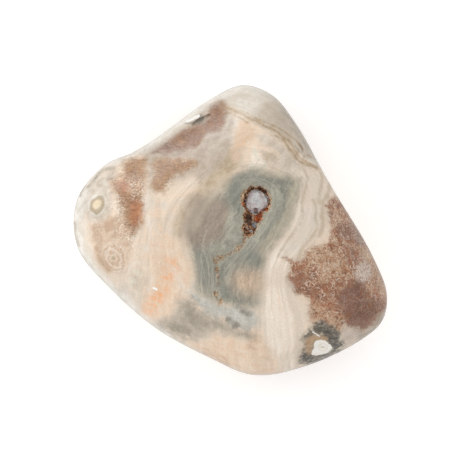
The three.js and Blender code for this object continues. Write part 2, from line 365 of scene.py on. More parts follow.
        [(184, 123), (192, 122), (198, 118), (200, 114), (203, 115), (204, 119), (200, 122), (192, 124)],
    ],
    # A painted highlight along the chip's edge.
    "chip_gleam": [
        [(185, 121.5), (191, 118.5), (199, 114.5), (200, 116), (193, 120), (187, 122.5)],
    ],
    "vug_stain": [
        [(241, 194), (243, 191.5), (246, 190), (247, 193), (245.5, 198), (244.5, 204), (242, 205),
         (241, 202), (240.8, 197)],
    ],
}

# Lines of each marking, each with its width.
LINES = {
    "heart_rim": [
        ([(228, 182), (217, 192), (208, 203), (200, 215), (194, 228)], 7),
        ([(294, 186), (290, 201), (285, 214), (277, 228), (268, 240), (261, 251)], 9),
    ],
    "heart_dark": [
        ([(236, 180), (248, 176), (262, 178), (276, 181), (290, 183)], 4),
        ([(286, 190), (283, 204), (278, 217), (270, 229), (262, 238)], 4),
    ],
    "strands": [
        ([(207, 230), (204, 238), (202, 246), (205, 254), (208, 264), (209, 276)], 1.2),
        ([(213, 240), (209, 250), (212, 262), (213, 276), (214, 290)], 0.9),
        ([(203, 246), (201, 256), (203, 268), (205, 280)], 0.8),
        ([(233, 210), (228, 220), (230, 230), (224, 240), (217, 246)], 1.1),
        ([(238, 216), (233, 226), (235, 236), (229, 245)], 0.8),
        ([(272, 186), (272, 199), (270, 211), (262, 225), (252, 237), (243, 248)], 1.2),
        ([(277, 188), (277, 201), (274, 214), (266, 228), (256, 240), (246, 251)], 0.9),
        ([(268, 206), (262, 218), (254, 230), (247, 240)], 0.8),
        ([(262, 238), (252, 249), (240, 260), (230, 270), (224, 282)], 0.9),
        ([(256, 240), (244, 251), (232, 262), (224, 272)], 0.9),
        ([(236, 258), (231, 266), (232, 276)], 1.0),
        ([(228, 262), (224, 270), (226, 280)], 0.9),
        ([(257, 176), (264, 166), (272, 154)], 0.9),
        ([(282, 196), (288, 184), (296, 170)], 0.9),
        ([(286, 207), (294, 192), (302, 177)], 0.9),
        ([(250, 176), (255, 166), (260, 158)], 0.8),
        ([(264, 180), (272, 168), (279, 158)], 0.9),
        ([(272, 184), (280, 172), (286, 164)], 0.8),
    ],
    "contour": [
        ([(206, 137), (213, 135), (219, 133), (224, 130), (228, 122), (228, 112), (226, 103)], 3),
    ],
    "pale_line": [
        ([(174, 272), (179, 282), (186, 292)], 6),
        ([(127, 272), (133, 264), (143, 265), (150, 276), (149, 290)], 2),
        ([(279, 290), (279, 322), (278, 352)], 5),
        ([(146, 196), (147, 214), (149, 232), (146, 250)], 5),
    ],
    "warm_line": [
        ([(158, 200), (158, 215), (161, 230)], 5),
        ([(286, 300), (286, 330), (284, 360)], 3),
        ([(294, 310), (295, 335), (291, 365)], 3),
        ([(268, 300), (267, 330), (267, 360)], 2.5),
    ],
    "tan_line": [
        ([(284, 139), (288, 147), (294, 154), (299, 161), (306, 165), (314, 166), (320, 171), (322, 179),
          (321, 188), (319, 197), (320, 206)], 2.4),
        ([(313, 200), (316, 208), (315, 217), (317, 226), (314, 234), (307, 243), (301, 250),
          (299, 258)], 2),
        ([(304, 170), (307, 178), (306, 187), (303, 196), (302, 206), (303, 215), (299, 225), (292, 235),
          (284, 245), (278, 256)], 1.3),
        ([(330, 184), (328, 194), (323, 202), (322, 214), (323, 226), (319, 236)], 4),
    ],
    "line_stain": [
        ([(222, 107), (238, 111), (248, 117), (262, 126), (274, 130), (286, 137), (298, 148)], 4),
        ([(276, 136), (284, 143), (290, 151), (298, 158), (308, 164), (318, 169)], 2),
    ],
    "brown_line": [
        ([(224, 107), (233, 110), (242, 114), (249, 118), (256, 121), (263, 125), (270, 128), (276, 131),
          (283, 137), (290, 142), (295, 150), (300, 157), (308, 163), (317, 168)], 1.9),
        ([(246, 112), (256, 119), (264, 122), (272, 125), (280, 129), (288, 134), (296, 140), (301, 147),
          (305, 154), (311, 157)], 1.3),
        ([(276, 136), (284, 140), (288, 147), (293, 153), (298, 160), (305, 164), (313, 166)], 1.3),
        ([(226, 112), (238, 117), (248, 123)], 1.2),
    ],
    "dark_line": [
        ([(294, 146), (298, 149), (301, 153), (304, 157)], 1.2),
        ([(299, 144), (302, 149), (302, 153)], 1.1),
        ([(264, 125), (268, 128)], 1.1),
    ],
    # Dark lines near the upper-left edge: the first follows a dark line in the stone, the two on the outline
    # are painted shade.
    "edge_shade": [
        ([(88, 187), (93, 181), (98, 175), (103, 170.5), (109, 168), (114, 168.5)], 3),
        ([(80, 196), (82, 191), (85, 186)], 1.8),
        ([(75, 222), (76, 236), (79, 246)], 1.2),
    ],
    "brown_arc": [
        ([(96.5, 249), (99, 256), (103, 263), (109, 270)], 4.5),
    ],
    # The whitish rim along the left, upper-left and lower-left edges: partly the stone's own translucent
    # rim, partly a painted reflection of the bright surroundings.
    "pale_rim_and_sheen": [
        ([(132, 150), (106, 162), (90, 176), (80, 196), (77, 214), (78, 236), (84, 256), (96, 275),
          (114, 294), (132, 310)], 12),
        ([(126, 153), (142, 146), (158, 137), (174, 125), (192, 112), (208, 100), (226, 89), (244, 83),
          (262, 85)], 11),
        ([(130, 311), (144, 323), (158, 333), (172, 342)], 12),
        ([(166, 339), (182, 348), (200, 357)], 5),
    ],
    "orange": [
        ([(171, 264), (169, 272), (165, 282), (161, 292), (155, 301), (149, 309)], 10),
        ([(169, 267), (168, 275), (165, 284)], 7),
        ([(159, 296), (154, 305)], 6),
    ],
    "eye_ring": [
        ([(318.6, 347.4), (319.8, 344.6), (323, 343.4), (326.4, 344.6), (327.6, 347.2), (325.8, 350),
          (322.2, 351), (319.4, 349.8), (318.6, 347.4)], 0.9),
        ([(321.4, 347), (324, 347.4)], 2.4),
    ],
    # Painted glints: small white highlights on the face.
    "glint": [
        ([(313, 332), (316, 334), (319.5, 336.2)], 1.2),
        ([(153.5, 288), (156.5, 289.5)], 2.0),
    ],
    "seam": [
        ([(248, 234), (245, 239), (242, 246), (239, 250), (233, 252), (227, 255), (221, 258), (217, 262),
          (217, 269), (218, 276), (218, 284), (216, 292), (217, 298), (221, 301)], 1.5),
    ],
}

# The markings of the upper face alone. They fade out below the widest level.
UPPER_ONLY = {
    "halo", "halo_deep", "tan_crescent", "eye", "eye_ring", "glint", "chip_shade", "chip_gleam",
    "vug_stain", "seam", "strands", "brown_line", "dark_line", "line_stain", "edge_shade",
    "squiggles", "pale_rim_and_sheen",
}

# Orbs: middle on the plan and radius in millimetres. The height over the widest level is given
# where an orb isn't on the upper face.
CORED_ORB = [((97.5, 205), 0.62)]
FACE_ORB = [((114, 258), 2.5)]
RINGED_ORBS = [
    ((150, 170), -6.5, 2.6), ((190, 150), -8.0, 1.9), ((200, 205), -9.0, 2.4),
    ((245, 235), -9.0, 1.7), ((160, 235), -8.0, 1.6), ((300, 260), -8.2, 2.3),
    ((330, 300), -6.8, 1.7), ((270, 300), -8.8, 1.5), ((110, 215), -4.5, 1.7),
    ((232, 330), -6.5, 2.0), ((300, 170), -6.0, 1.8),
]
NO_ORB = 9.0   # the share of a radius that stands for no orb near

# Growth lines: rings of equal growth about the seam, and how far out each lies, in millimetres.
GROWTH = [
    ([(255, 194), (253, 206), (250, 220), (245, 236), (238, 248), (228, 254), (219, 262),
      (217, 278), (217, 292), (221, 303), (226, 330), (226, 360), (226, 400)], 0),
    ([(264, 430), (263, 380), (262, 340), (262, 300), (262, 274), (265, 256), (276, 240), (286, 222),
      (293, 206), (298, 190), (293, 179), (278, 172), (258, 168), (240, 168), (224, 176),
      (208, 190), (194, 207), (185, 228), (186, 248), (193, 266), (196, 284), (190, 306),
      (180, 332), (172, 366), (168, 400)], 5),
    ([(306, 430), (304, 390), (303, 360), (306, 335), (304, 315), (298, 300), (290, 285), (292, 268),
      (304, 254), (318, 241), (326, 222), (327, 200), (321, 182), (310, 167), (296, 151), (280, 141),
      (262, 135), (245, 134), (228, 141), (206, 160), (180, 182), (160, 203), (152, 226), (150, 252),
      (150, 282), (144, 312), (134, 344), (126, 380)], 10),
    ([(338, 190), (328, 177), (318, 169), (303, 158), (293, 147), (284, 137), (262, 126), (242, 112),
      (224, 108), (204, 124), (180, 142), (160, 162), (147, 182), (143, 204), (141, 225), (133, 246),
      (128, 266), (124, 290), (114, 320), (104, 350)], 13),
    ([(338, 160), (316, 146), (302, 126), (286, 108), (264, 94), (240, 90), (216, 96), (190, 113),
      (160, 134), (124, 156), (94, 180), (82, 208), (84, 240), (92, 268), (98, 300), (92, 330)], 18),
]


# The form of the pebble.

SPHERE_FINENESS = 2      # subdivisions of the base sphere
SPHERE_STEPS = 47        # steps along each edge of its triangles
TOWARDS_CROWN = 0.3      # how far the mesh crowds towards the upper face
UNDULATION = {"size": 4.5, "depth": 0.035}   # what tumbling leaves of the rough stone's lumps
OUTLINE_STEPS = 40       # steps between two points of the outline
MERGE_DIGITS = 7         # decimals in which corners have to agree to be one


def sphere_mesh(steps, crowd):
    """Corners and triangles of a unit sphere, with the finer triangles towards +Z."""
    base = bmesh.new()
    bmesh.ops.create_icosphere(base, subdivisions=SPHERE_FINENESS, radius=1)
    corners = [[v.co[:] for v in face.verts] for face in base.faces]
    base.free()
    across = [(i, j) for i in range(steps + 1) for j in range(steps + 1 - i)]
    shares = np.array([(1 - (i + j) / steps, i / steps, j / steps) for i, j in across])
    place = {pair: number for number, pair in enumerate(across)}
    cells = []
    for i, j in across:
        if i + j < steps:
            cells.append((place[i, j], place[i + 1, j], place[i, j + 1]))
        if i + j < steps - 1:
            cells.append((place[i + 1, j], place[i + 1, j + 1], place[i, j + 1]))
    cells = np.array(cells)
    points = np.concatenate([shares @ np.array(c) for c in corners])
    faces = np.concatenate([cells + k * len(shares) for k in range(len(corners))])
    points /= np.linalg.norm(points, axis=1)[:, None]
    keys = np.round(points, MERGE_DIGITS)
    _, first, same = np.unique(keys, axis=0, return_index=True, return_inverse=True)
    points, faces = points[first], same.reshape(-1)[faces]
    height = points[:, 2] + crowd * (1 - points[:, 2] ** 2)
    level = np.linalg.norm(points[:, :2], axis=1)
    flat = points[:, :2] / np.maximum(level, TINY)[:, None]
    points = np.column_stack([flat * np.sqrt(np.clip(1 - height**2, 0, 1))[:, None], height])
    return points, faces


def plan_radius(bearing):
    """The outline's distance from the middle at any bearing."""
    x, y = through(OUTLINE, closed=True, steps=OUTLINE_STEPS).T
    return np.interp(bearing, np.arctan2(y, x), np.hypot(x, y), period=2 * np.pi)


def press_flat(points, normal, level, soft):
    """Presses points onto a plane at a level along its normal, with a soft blend at its edge."""
    proud = points @ normal - level
    push = np.where(proud >= soft, proud, np.where(proud > -soft, (proud + soft) ** 2 / (4 * soft), 0))
    return points - push[:, None] * normal


def tilted(bearing, tilt):
    """The direction at a bearing that leans from straight up by a tilt, both in degrees."""
    turn, lean = math.radians(bearing), math.radians(tilt)
    return np.array([math.sin(lean) * math.cos(turn), math.sin(lean) * math.sin(turn), math.cos(lean)])


def pebble_points(sphere):
    """The worn form of the pebble, before its hollows are cut."""
    bearing, level = np.arctan2(sphere[:, 1], sphere[:, 0]), np.arcsin(np.clip(sphere[:, 2], -1, 1))
    above = sphere[:, 2] > 0
    upper = SHOULDER["mean"] + SHOULDER["swing"] * np.cos(bearing - math.radians(SHOULDER["boxiest"]))
    power = np.where(above, upper, UNDERSIDE_SHOULDER)
    across, up = np.abs(np.cos(level)), np.abs(np.sin(level))
    scale = (across**power + up**power) ** (-1 / power)
    radius, rise = plan_radius(bearing) * across * scale, up * scale
    points = np.column_stack([
        radius * np.cos(bearing), radius * np.sin(bearing),
        np.where(above, CROWN_HEIGHT, -BASE_DEPTH) * rise,
    ])
    points[:, :2] += np.where(above, rise**2, 0)[:, None] * np.array(CROWN_SHIFT)
    for turn, tilt, depth, soft in FLATS:
        normal = tilted(turn, tilt)
        reach = (points @ normal).max() - depth
        points = press_flat(points, normal, reach, soft)
    points += undulation(points)
    return press_flat(points, np.array([0, 0, -1.0]), BASE_DEPTH - REST_CUT, REST_SOFT)


def undulation(points):
    size, depth = UNDULATION["size"], UNDULATION["depth"]
    swell = np.array([noise.noise(Vector(point / size)) for point in points])
    outward = points / np.linalg.norm(points, axis=1)[:, None]
    return depth * (swell - 1)[:, None] * outward


def fitted(points, low, high):
    """The points stretched the last fraction of a percent to fill the solid's box."""
    own_low, own_high = points.min(0), points.max(0)
    return low + (points - own_low) * (high - low) / (own_high - own_low)


def linked(name, data):
    """A new object in the scene."""
    made = bpy.data.objects.new(name, data)
    bpy.context.scene.collection.objects.link(made)
    return made


def mesh_object(name, points, faces):
    mesh = bpy.data.meshes.new(name)
    mesh.from_pydata(points, [], faces)
    return linked(name, mesh)


def ball_object(name, ball):
    mesh = bpy.data.meshes.new(name)
    ball.to_mesh(mesh)
    ball.free()
    return linked(name, mesh)


def corners_of(mesh):
    flat = np.empty(3 * len(mesh.vertices))
    mesh.vertices.foreach_get("co", flat)
    return flat.reshape(-1, 3)


# Hollows.

# Subdivisions of their bubbles.
VUG_FINENESS = 5
PIT_FINENESS = 4
GRAIN_FINENESS = 3

# The noise that makes them ragged, and how grains lie about a pit of the seam.
RAGGED = {"size": 0.45, "share": 0.12, "fall": 0.8, "step": 2, "octaves": 3}
GRAINS = {"each": 5, "scatter": 0.35, "radius": (0.07, 0.16), "sink": 0.4, "lumps": 0.15, "ragged": 0.5}
HIGH_ABOVE = 100   # where the rays that find the polished face start


def bubble(hole, centre, fineness):
    """A lumpy closed bubble about a centre."""
    ball = bmesh.new()
    bmesh.ops.create_icosphere(ball, subdivisions=fineness, radius=1)
    radius = hole["radius"]
    phase = (*hole["at"], radius)
    turn = Matrix.Rotation(math.radians(hole.get("turn", 0)), 4, "Z")
    stretch = turn @ Matrix.Diagonal((hole.get("stretch", 1), 1, hole.get("rise", radius) / radius, 1))
    for v in ball.verts:
        x, y, z = v.co
        wave = (math.sin(LUMP_WAVES[0] * x + phase[0]) + math.sin(LUMP_WAVES[1] * y + phase[1])
                + math.cos(LUMP_WAVES[2] * z + phase[2]))
        place = v.co * radius / RAGGED["size"] + centre
        rough = noise.fractal(place, RAGGED["fall"], RAGGED["step"], RAGGED["octaves"])
        v.co *= radius * (1 + hole["lumps"] * wave / 2 + hole.get("ragged", RAGGED["share"]) * rough)
        v.co = stretch @ v.co + centre
    return ball_object("bubble", ball)


def apply_modifiers(piece):
    ready = piece.evaluated_get(bpy.context.evaluated_depsgraph_get())
    mesh = bpy.data.meshes.new_from_object(ready)
    piece.modifiers.clear()
    piece.data = mesh


def combine(piece, tool, operation):
    """Adds a closed tool to a piece or takes it out of it, and deletes the tool."""
    change = piece.modifiers.new("combine", "BOOLEAN")
    change.operation, change.solver, change.object = operation, "MANIFOLD", tool
    apply_modifiers(piece)
    bpy.data.objects.remove(tool)


def height_over(face, at):
    """The height of the polished face over a place, in millimetres."""
    above = Vector((at[0], at[1], HIGH_ABOVE))
    return face.ray_cast(above, Vector((0, 0, -1)))[0].z


def centre_of(hole, face, shift):
    """The middle of a hollow, sunk below the polished face."""
    x, y = hole["at"][0] + shift[0], hole["at"][1] + shift[1]
    return Vector((x, y, height_over(face, (x, y)) - hole["sink"]))


def seam_grains(face, shift):
    """The small ragged openings that are scattered about each pit of the seam."""
    rng = np.random.default_rng(SEEDS["grains"])
    grains = []
    for at, reach in SEAM_PITS:
        for _ in range(GRAINS["each"]):
            x, y = np.array(at) + GRAINS["scatter"] * reach * rng.normal(size=2)
            radius = rng.uniform(*GRAINS["radius"])
            grain = {"at": (x, y), "radius": radius, "sink": GRAINS["sink"] * radius,
                     "lumps": GRAINS["lumps"], "ragged": GRAINS["ragged"]}
            grains.append((grain, centre_of(grain, face, shift)))
    return grains


# Fields: distances in millimetres from the markings to each corner of a mesh.

REACH = 3.0                              # how far from a marking its field is worked out
GROWTH_CELLS = (46, 23, 11, 5, 3)        # sides of the plan's cells, in pixels, from coarse to fine
GROWTH_ROUNDS = 250                      # rounds of levelling at each size of cell
GROWTH_STEPS = 30                        # steps between two points of a guide


def plan_of(points, widest):
    """Where points lie on the plan. Below the widest level the plan turns with depth."""
    height = points[:, 2] - widest
    scale = VIEW_HEIGHT / (VIEW_HEIGHT - height)
    depth = np.clip(-height / BASE_DEPTH, 0, 1)
    turn = math.radians(TWIST) * depth * depth * (3 - 2 * depth)
    x = scale * (points[:, 0] * np.cos(turn) - points[:, 1] * np.sin(turn))
    y = scale * (points[:, 0] * np.sin(turn) + points[:, 1] * np.cos(turn))
    return np.column_stack([PLAN_MIDDLE[0] + PIXELS_PER_MM * x, PLAN_MIDDLE[1] - PIXELS_PER_MM * y])


def distance_to(places, line):
    nearest = np.full(len(places), np.inf)
    for start, step in zip(line[:-1], np.diff(line, axis=0)):
        along = np.clip((places - start) @ step / (step @ step), 0, 1)
        away = places - start - along[:, None] * step
        nearest = np.minimum(nearest, np.hypot(away[:, 0], away[:, 1]))
    return nearest


def is_inside(places, ring):
    x, y = places[:, 0], places[:, 1]
    inside = np.zeros(len(places), bool)
    for (x0, y0), (x1, y1) in zip(ring[:-1], ring[1:]):
        if y0 != y1:
            crosses = (y0 > y) != (y1 > y)
            inside ^= crosses & (x < x0 + (y - y0) * (x1 - x0) / (y1 - y0))
    return inside


def field_near(places, line, distance):
    """A distance in millimetres that is worked out near a line only."""
    margin = REACH * PIXELS_PER_MM
    near = np.all((places > line.min(0) - margin) & (places < line.max(0) + margin), axis=1)
    field = np.full(len(places), -margin)
    field[near] = distance(places[near])
    return field / PIXELS_PER_MM


def area_field(places, outline):
    """The distance from an outline, positive inside it."""
    ring = through(outline, closed=True)
    ring = np.vstack([ring, ring[0]])

    def inside_by(spots):
        away = distance_to(spots, ring)
        return np.where(is_inside(spots, ring), away, -away)

    return field_near(places, ring, inside_by)


def line_field(places, points, width):
    """How far inside a drawn line each place lies."""
    line = through(points)
    return field_near(places, line, lambda spots: width / 2 - distance_to(spots, line))


def marking_field(places, areas=(), lines=()):
    fields = [area_field(places, outline) for outline in areas]
    fields += [line_field(places, points, width) for points, width in lines]
    return np.max(fields, axis=0)


def growth_map():
    """How far out each cell of the plan lies in the growth of the agate, level between guides."""
    grid = np.zeros((2, 2))
    for cell in GROWTH_CELLS:
        side = FRAME_PIXELS // cell + 1
        nearest = np.arange(side) * len(grid) // side
        grid = grid[np.ix_(nearest, nearest)]
        fixed = np.full(grid.shape, np.nan)
        for points, level in GROWTH:
            for x, y in through(points, steps=GROWTH_STEPS):
                fixed[round(y / cell), round(x / cell)] = level
        free = np.isnan(fixed)
        for _ in range(GROWTH_ROUNDS):
            wide = np.pad(grid, 1, mode="edge")
            mean = (wide[:-2, 1:-1] + wide[2:, 1:-1] + wide[1:-1, :-2] + wide[1:-1, 2:]) / 4
            grid = np.where(free, mean, fixed)
    return grid


def growth_field(places):
    grid, cell = growth_map(), GROWTH_CELLS[-1]
    x, y = np.clip(places.T / cell, 0, len(grid) - 1 - TINY)
    column, row = x.astype(int), y.astype(int)
    x, y = x - column, y - row
    upper = grid[row, column] * (1 - x) + grid[row, column + 1] * x
    lower = grid[row + 1, column] * (1 - x) + grid[row + 1, column + 1] * x
    return upper * (1 - y) + lower * y


def orb_middle(place, height, widest):
    scale = VIEW_HEIGHT / (VIEW_HEIGHT - height) * PIXELS_PER_MM
    return [(place[0] - PLAN_MIDDLE[0]) / scale, (PLAN_MIDDLE[1] - place[1]) / scale, widest + height]


def orb_field(points, widest, orbs):
    """The distance to the nearest orb's middle, as a share of its radius."""
    share = np.full(len(points), NO_ORB)
    for place, height, radius in orbs:
        middle = orb_middle(place, height, widest)
        share = np.minimum(share, np.linalg.norm(points - middle, axis=1) / radius)
    return share


def on_face(orbs, face, widest):
    """The orbs with the height of the upper face."""
    raised = []
    for place, radius in orbs:
        height = height_over(face, orb_middle(place, 0, widest)) - widest
        raised.append((place, height, radius))
    return raised


def write_field(mesh, name, values):
    field = mesh.attributes.new(name, "FLOAT", "POINT")
    field.data.foreach_set("value", np.asarray(values, np.float32))


def write_markings(mesh, places, areas, lines, under=0):
    """The field of each marking. under is how far each corner lies below the widest level."""
    for name in {**areas, **lines}:
        field = marking_field(places, areas.get(name, ()), lines.get(name, ()))
        write_field(mesh, name, field - under * (name in UPPER_ONLY))


def write_jasper_fields(mesh, face, widest):
    """The fields that colour the pebble."""
    points = corners_of(mesh)
    places = plan_of(points, widest)
    write_markings(mesh, places, AREAS, LINES, np.maximum(widest - points[:, 2], 0))
    write_field(mesh, "growth", growth_field(places))
    for name, orbs in (("cored_orb", on_face(CORED_ORB, face, widest)),
                       ("face_orb", on_face(FACE_ORB, face, widest)), ("ringed_orb", RINGED_ORBS)):
        write_field(mesh, name, orb_field(points, widest, orbs))


# Materials.

PALETTE = {
    "haze": (174, 158, 140), "haze_pale": (188, 174, 158), "band_line": (224, 209, 191),
    "cream": (228, 211, 192), "bright_cream": (244, 230, 214), "peach_cream": (234, 212, 189),
    "grey_beige": (213, 203, 189), "line_beige": (204, 187, 166), "heart": (145, 142, 129),
    "heart_dark": (128, 127, 115), "heart_green": (139, 140, 128), "heart_pale": (158, 155, 139),
    "strand": (184, 180, 162), "heart_brown": (158, 141, 125), "heart_edge": (188, 172, 147),
    "rim_tan": (190, 179, 158), "peach": (231, 200, 171), "peach_spot": (206, 180, 154),
    "orange": (240, 175, 124), "quartz": (189, 185, 174), "quartz_pale": (202, 199, 190),
    "quartz_dark": (172, 166, 154), "smudge": (134, 126, 114), "band_dark": (160, 150, 134),
    "band_edge": (182, 170, 154), "band_deep": (146, 136, 119), "sand": (206, 196, 182),
    "sand_dark": (188, 173, 154), "olive": (150, 141, 124), "beige_grey": (197, 182, 164),
    "tan": (192, 172, 145), "tan_deep": (168, 146, 112), "peach_deep": (211, 178, 147),
    "yellow_cream": (226, 218, 200), "line_brown": (166, 136, 98), "line_dark": (112, 88, 66),
    "rust": (156, 119, 92), "rust_bright": (188, 126, 84), "rust_core": (158, 100, 68),
    "rust_dark": (142, 100, 74), "ochre": (158, 118, 82), "ochre_pale": (184, 148, 112),
    "mauve": (138, 107, 90), "mauve_grey": (158, 134, 120), "pink": (214, 189, 165),
    "pink_deep": (194, 162, 134), "white": (238, 235, 228), "grey_white": (222, 216, 204),
    "moss": (172, 132, 102), "moss_pale": (204, 174, 144), "moss_dark": (128, 88, 66),
    "moss_red": (159, 97, 59), "moss_worm": (224, 204, 184), "speck": (82, 55, 43),
    "maroon": (146, 110, 96), "maroon_dark": (118, 82, 68), "pale_spot": (206, 190, 177),
    "edge_tan": (186, 160, 136), "halo": (88, 84, 74), "halo_pale": (142, 136, 122),
    "halo_deep": (64, 58, 49), "tan_crescent": (188, 156, 120), "chalk": (246, 241, 232),
    "chalk_tan": (224, 211, 192), "chalk_ring": (222, 209, 188), "glint": (255, 255, 250),
    "orb_core": (240, 222, 188), "orb_ring": (176, 158, 130), "crystal": (211, 212, 211),
    "crystal_pink": (198, 186, 184), "crystal_blue": (120, 130, 138), "crystal_orange": (228, 128, 72),
    "crystal_rust": (166, 84, 40), "crystal_dark": (96, 62, 48), "seam": (134, 104, 76),
    "seam_bright": (216, 168, 112), "seam_pale": (214, 202, 182),
}

# The noises that fray the edges of markings: size in millimetres, detail and roughness.
FRAYS = {
    "wide": (5.0, 3, 0.55), "coarse": (2.0, 3, 0.55), "middle": (0.7, 3, 0.6), "fine": (0.25, 2, 0.6),
    "rough": (1.1, 5, 0.75),
}

# The noises of colours and bumps, with the same columns and, for some, a shift.
NOISES = {
    "mottle": (1.0, 3, 0.6), "curdle": (0.8, 3, 0.6), "flecks": (0.2, 2, 0.6, (2, 4, 6)),
    "moss": (1.1, 4, 0.75, (4, 2, 7)), "moss_rust": (0.32, 2, 0.6, (1, 6, 2)),
    "moss_worms": (0.5, 1, 0.5, (3, 5, 0)), "moss_crinkles": (0.5, 2, 0.5, (6, 3, 8)),
    "moss_specks": (0.22, 2, 0.6, (9, 1, 4)), "curls": (0.5, 1, 0.5, (2, 8, 1)),
    "halo": (0.6, 3, 0.65), "orbs": (0.7, 2), "seam": (0.2, 2, 0.7, (5, 5, 0)),
    "stains": (0.22, 3, 0.7), "grain": (0.16, 1, 0.5), "rust_fibres": (0.8, 3, 0.7),
    "rust_grain": (0.25, 3, 0.7, (3, 3, 9)), "moss_grain": (0.2, 2, 0.6), "quartz_grain": (0.22, 3, 0.7),
    "polish": (0.2, 3, 0.6), "crust": (0.3, 3, 0.7), "facets": (0.06, 2, 0.6),
}
RUST_FIBRES = {"degrees": 38, "stretch": (1, 6, 1)}   # the way they run and how fine they are

# Threads along the growth lines: the size and reach of what curdles them, their length and width in
# millimetres, detail and roughness.
THREADS = {
    "ground": (2.5, 0.8, 7, 0.8, 3, 0.6), "heart": (1.3, 1.0, 3, 0.4, 4, 0.7),
    "fine": (0.9, 1.4, 2.2, 0.26, 3, 0.7), "broad": (1.5, 0.6, 6, 0.5, 3, 0.6),
}
MIX_SHARE, MIX_FIRST, MIX_SECOND, MIX_RESULT = 0, 6, 7, 2   # the Mix node's sockets for colours
QUARTZ_IOR = 1.54
MOTTLE_SHIFT = 7       # between the mottles of two layers
POLISH_DEPTH = 0.012   # of bumps, in millimetres
FACET_DEPTH = 0.004


def paint(name):
    """A palette colour, as linear light."""
    share = np.array(PALETTE[name]) / 255
    return (*np.where(share <= 0.04045, share / 12.92, ((share + 0.055) / 1.055) ** 2.4), 1)


class Shades:
    """Makes a material's nodes, one short call for each. Its frays are noises of FRAYS."""

    def __init__(self, name, frays):
        self.material = bpy.data.materials.new(name)
        self.material.use_nodes = True
        self.tree = self.material.node_tree
        self.surface = self.tree.nodes["Principled BSDF"]
        self.place = self.vector("SCALE", self.node("TexCoord").outputs["Object"], Scale=1 / MM)
        self.frays = {fray: self.noise(*FRAYS[fray]) for fray in frays}

    def join(self, value, socket):
        if isinstance(value, bpy.types.NodeSocket):
            self.tree.links.new(value, socket)
        else:
            socket.default_value = value

    def node(self, kind, inputs=None, **settings):
        """A new node with its settings, and with numbers, colours or sockets at its inputs."""
        node = self.tree.nodes.new("ShaderNode" + kind)
        for name, value in settings.items():
            setattr(node, name, value)
        for name, value in (inputs or {}).items():
            self.join(value, node.inputs[name])
        return node

    def vector(self, operation, first, second=None, **inputs):
        inputs[0] = first
        if second is not None:
            inputs[1] = second
        return self.node("VectorMath", inputs, operation=operation).outputs[0]

    def maths(self, operation, *values):
        return self.node("Math", dict(enumerate(values)), operation=operation).outputs[0]

    def product(self, *values):
        whole = values[0]
        for value in values[1:]:
            whole = self.maths("MULTIPLY", whole, value)
        return whole

    def centred(self, value):
        """How far a noise is from its middle."""
        return self.maths("SUBTRACT", value, 0.5)

    def field(self, name):
        return self.node("Attribute", attribute_name=name).outputs["Fac"]

    def step(self, value, low, high):
        """0 below low and 1 above high, with a smooth rise between."""
        inputs = {"Value": value, "From Min": low, "From Max": high}
        return self.node("MapRange", inputs, interpolation_type="SMOOTHSTEP").outputs["Result"]

    def spread(self, value, low, high):
        """low to high as a value goes from 0 to 1, in a straight line."""
        return self.node("MapRange", {"Value": value, "To Min": low, "To Max": high}).outputs["Result"]

    def noise(self, size, detail=2.0, roughness=0.5, shift=(0, 0, 0), deep=None, place=None):
        """Noise with lumps of a size in millimetres. deep is a fourth coordinate."""
        inputs = {"Vector": self.vector("ADD", place or self.place, shift), "Scale": 1 / size,
                  "Detail": detail, "Roughness": roughness}
        if deep is not None:
            inputs["W"] = deep
        dimensions = "3D" if deep is None else "4D"
        return self.node("TexNoise", inputs, noise_dimensions=dimensions).outputs["Fac"]

    def texture(self, name, **more):
        """A noise of NOISES."""
        return self.noise(*NOISES[name], **more)

    def turned(self, degrees, stretch):
        """The place turned about the vertical and scaled, for a texture that is drawn out."""
        inputs = {"Vector": self.place, "Rotation": (0, 0, math.radians(degrees)), "Scale": stretch}
        return self.node("Mapping", inputs).outputs[0]

    def blend(self, share, first, second):
        """From a first colour to a second. Each is a palette name or a socket."""
        first, second = (paint(colour) if isinstance(colour, str) else colour for colour in (first, second))
        inputs = {MIX_SHARE: share, MIX_FIRST: first, MIX_SECOND: second}
        return self.node("Mix", inputs, data_type="RGBA").outputs[MIX_RESULT]

    def bump(self, height, depth):
        """Raises the surface by up to a depth in millimetres."""
        raised = self.node("Bump", {"Distance": depth * MM, "Height": height})
        self.join(raised.outputs["Normal"], self.surface.inputs["Normal"])

    def ramp(self, value, stops):
        """Colours along a value: a list of (value, palette name)."""
        low, high = stops[0][0], stops[-1][0]
        share = self.maths("DIVIDE", self.maths("SUBTRACT", value, low), high - low)
        node = self.node("ValToRGB", {0: share})
        elements = node.color_ramp.elements
        while len(elements) < len(stops):
            elements.new(0.5)   # its place is set below
        for element, (at, colour) in zip(elements, stops):
            element.position = (at - low) / (high - low)
            element.color = paint(colour)
        return node.outputs[0]

    def finished(self, inputs):
        """The material, with numbers, colours or sockets at the shader's inputs."""
        for name, value in inputs.items():
            self.join(value, self.surface.inputs[name])
        return self.material


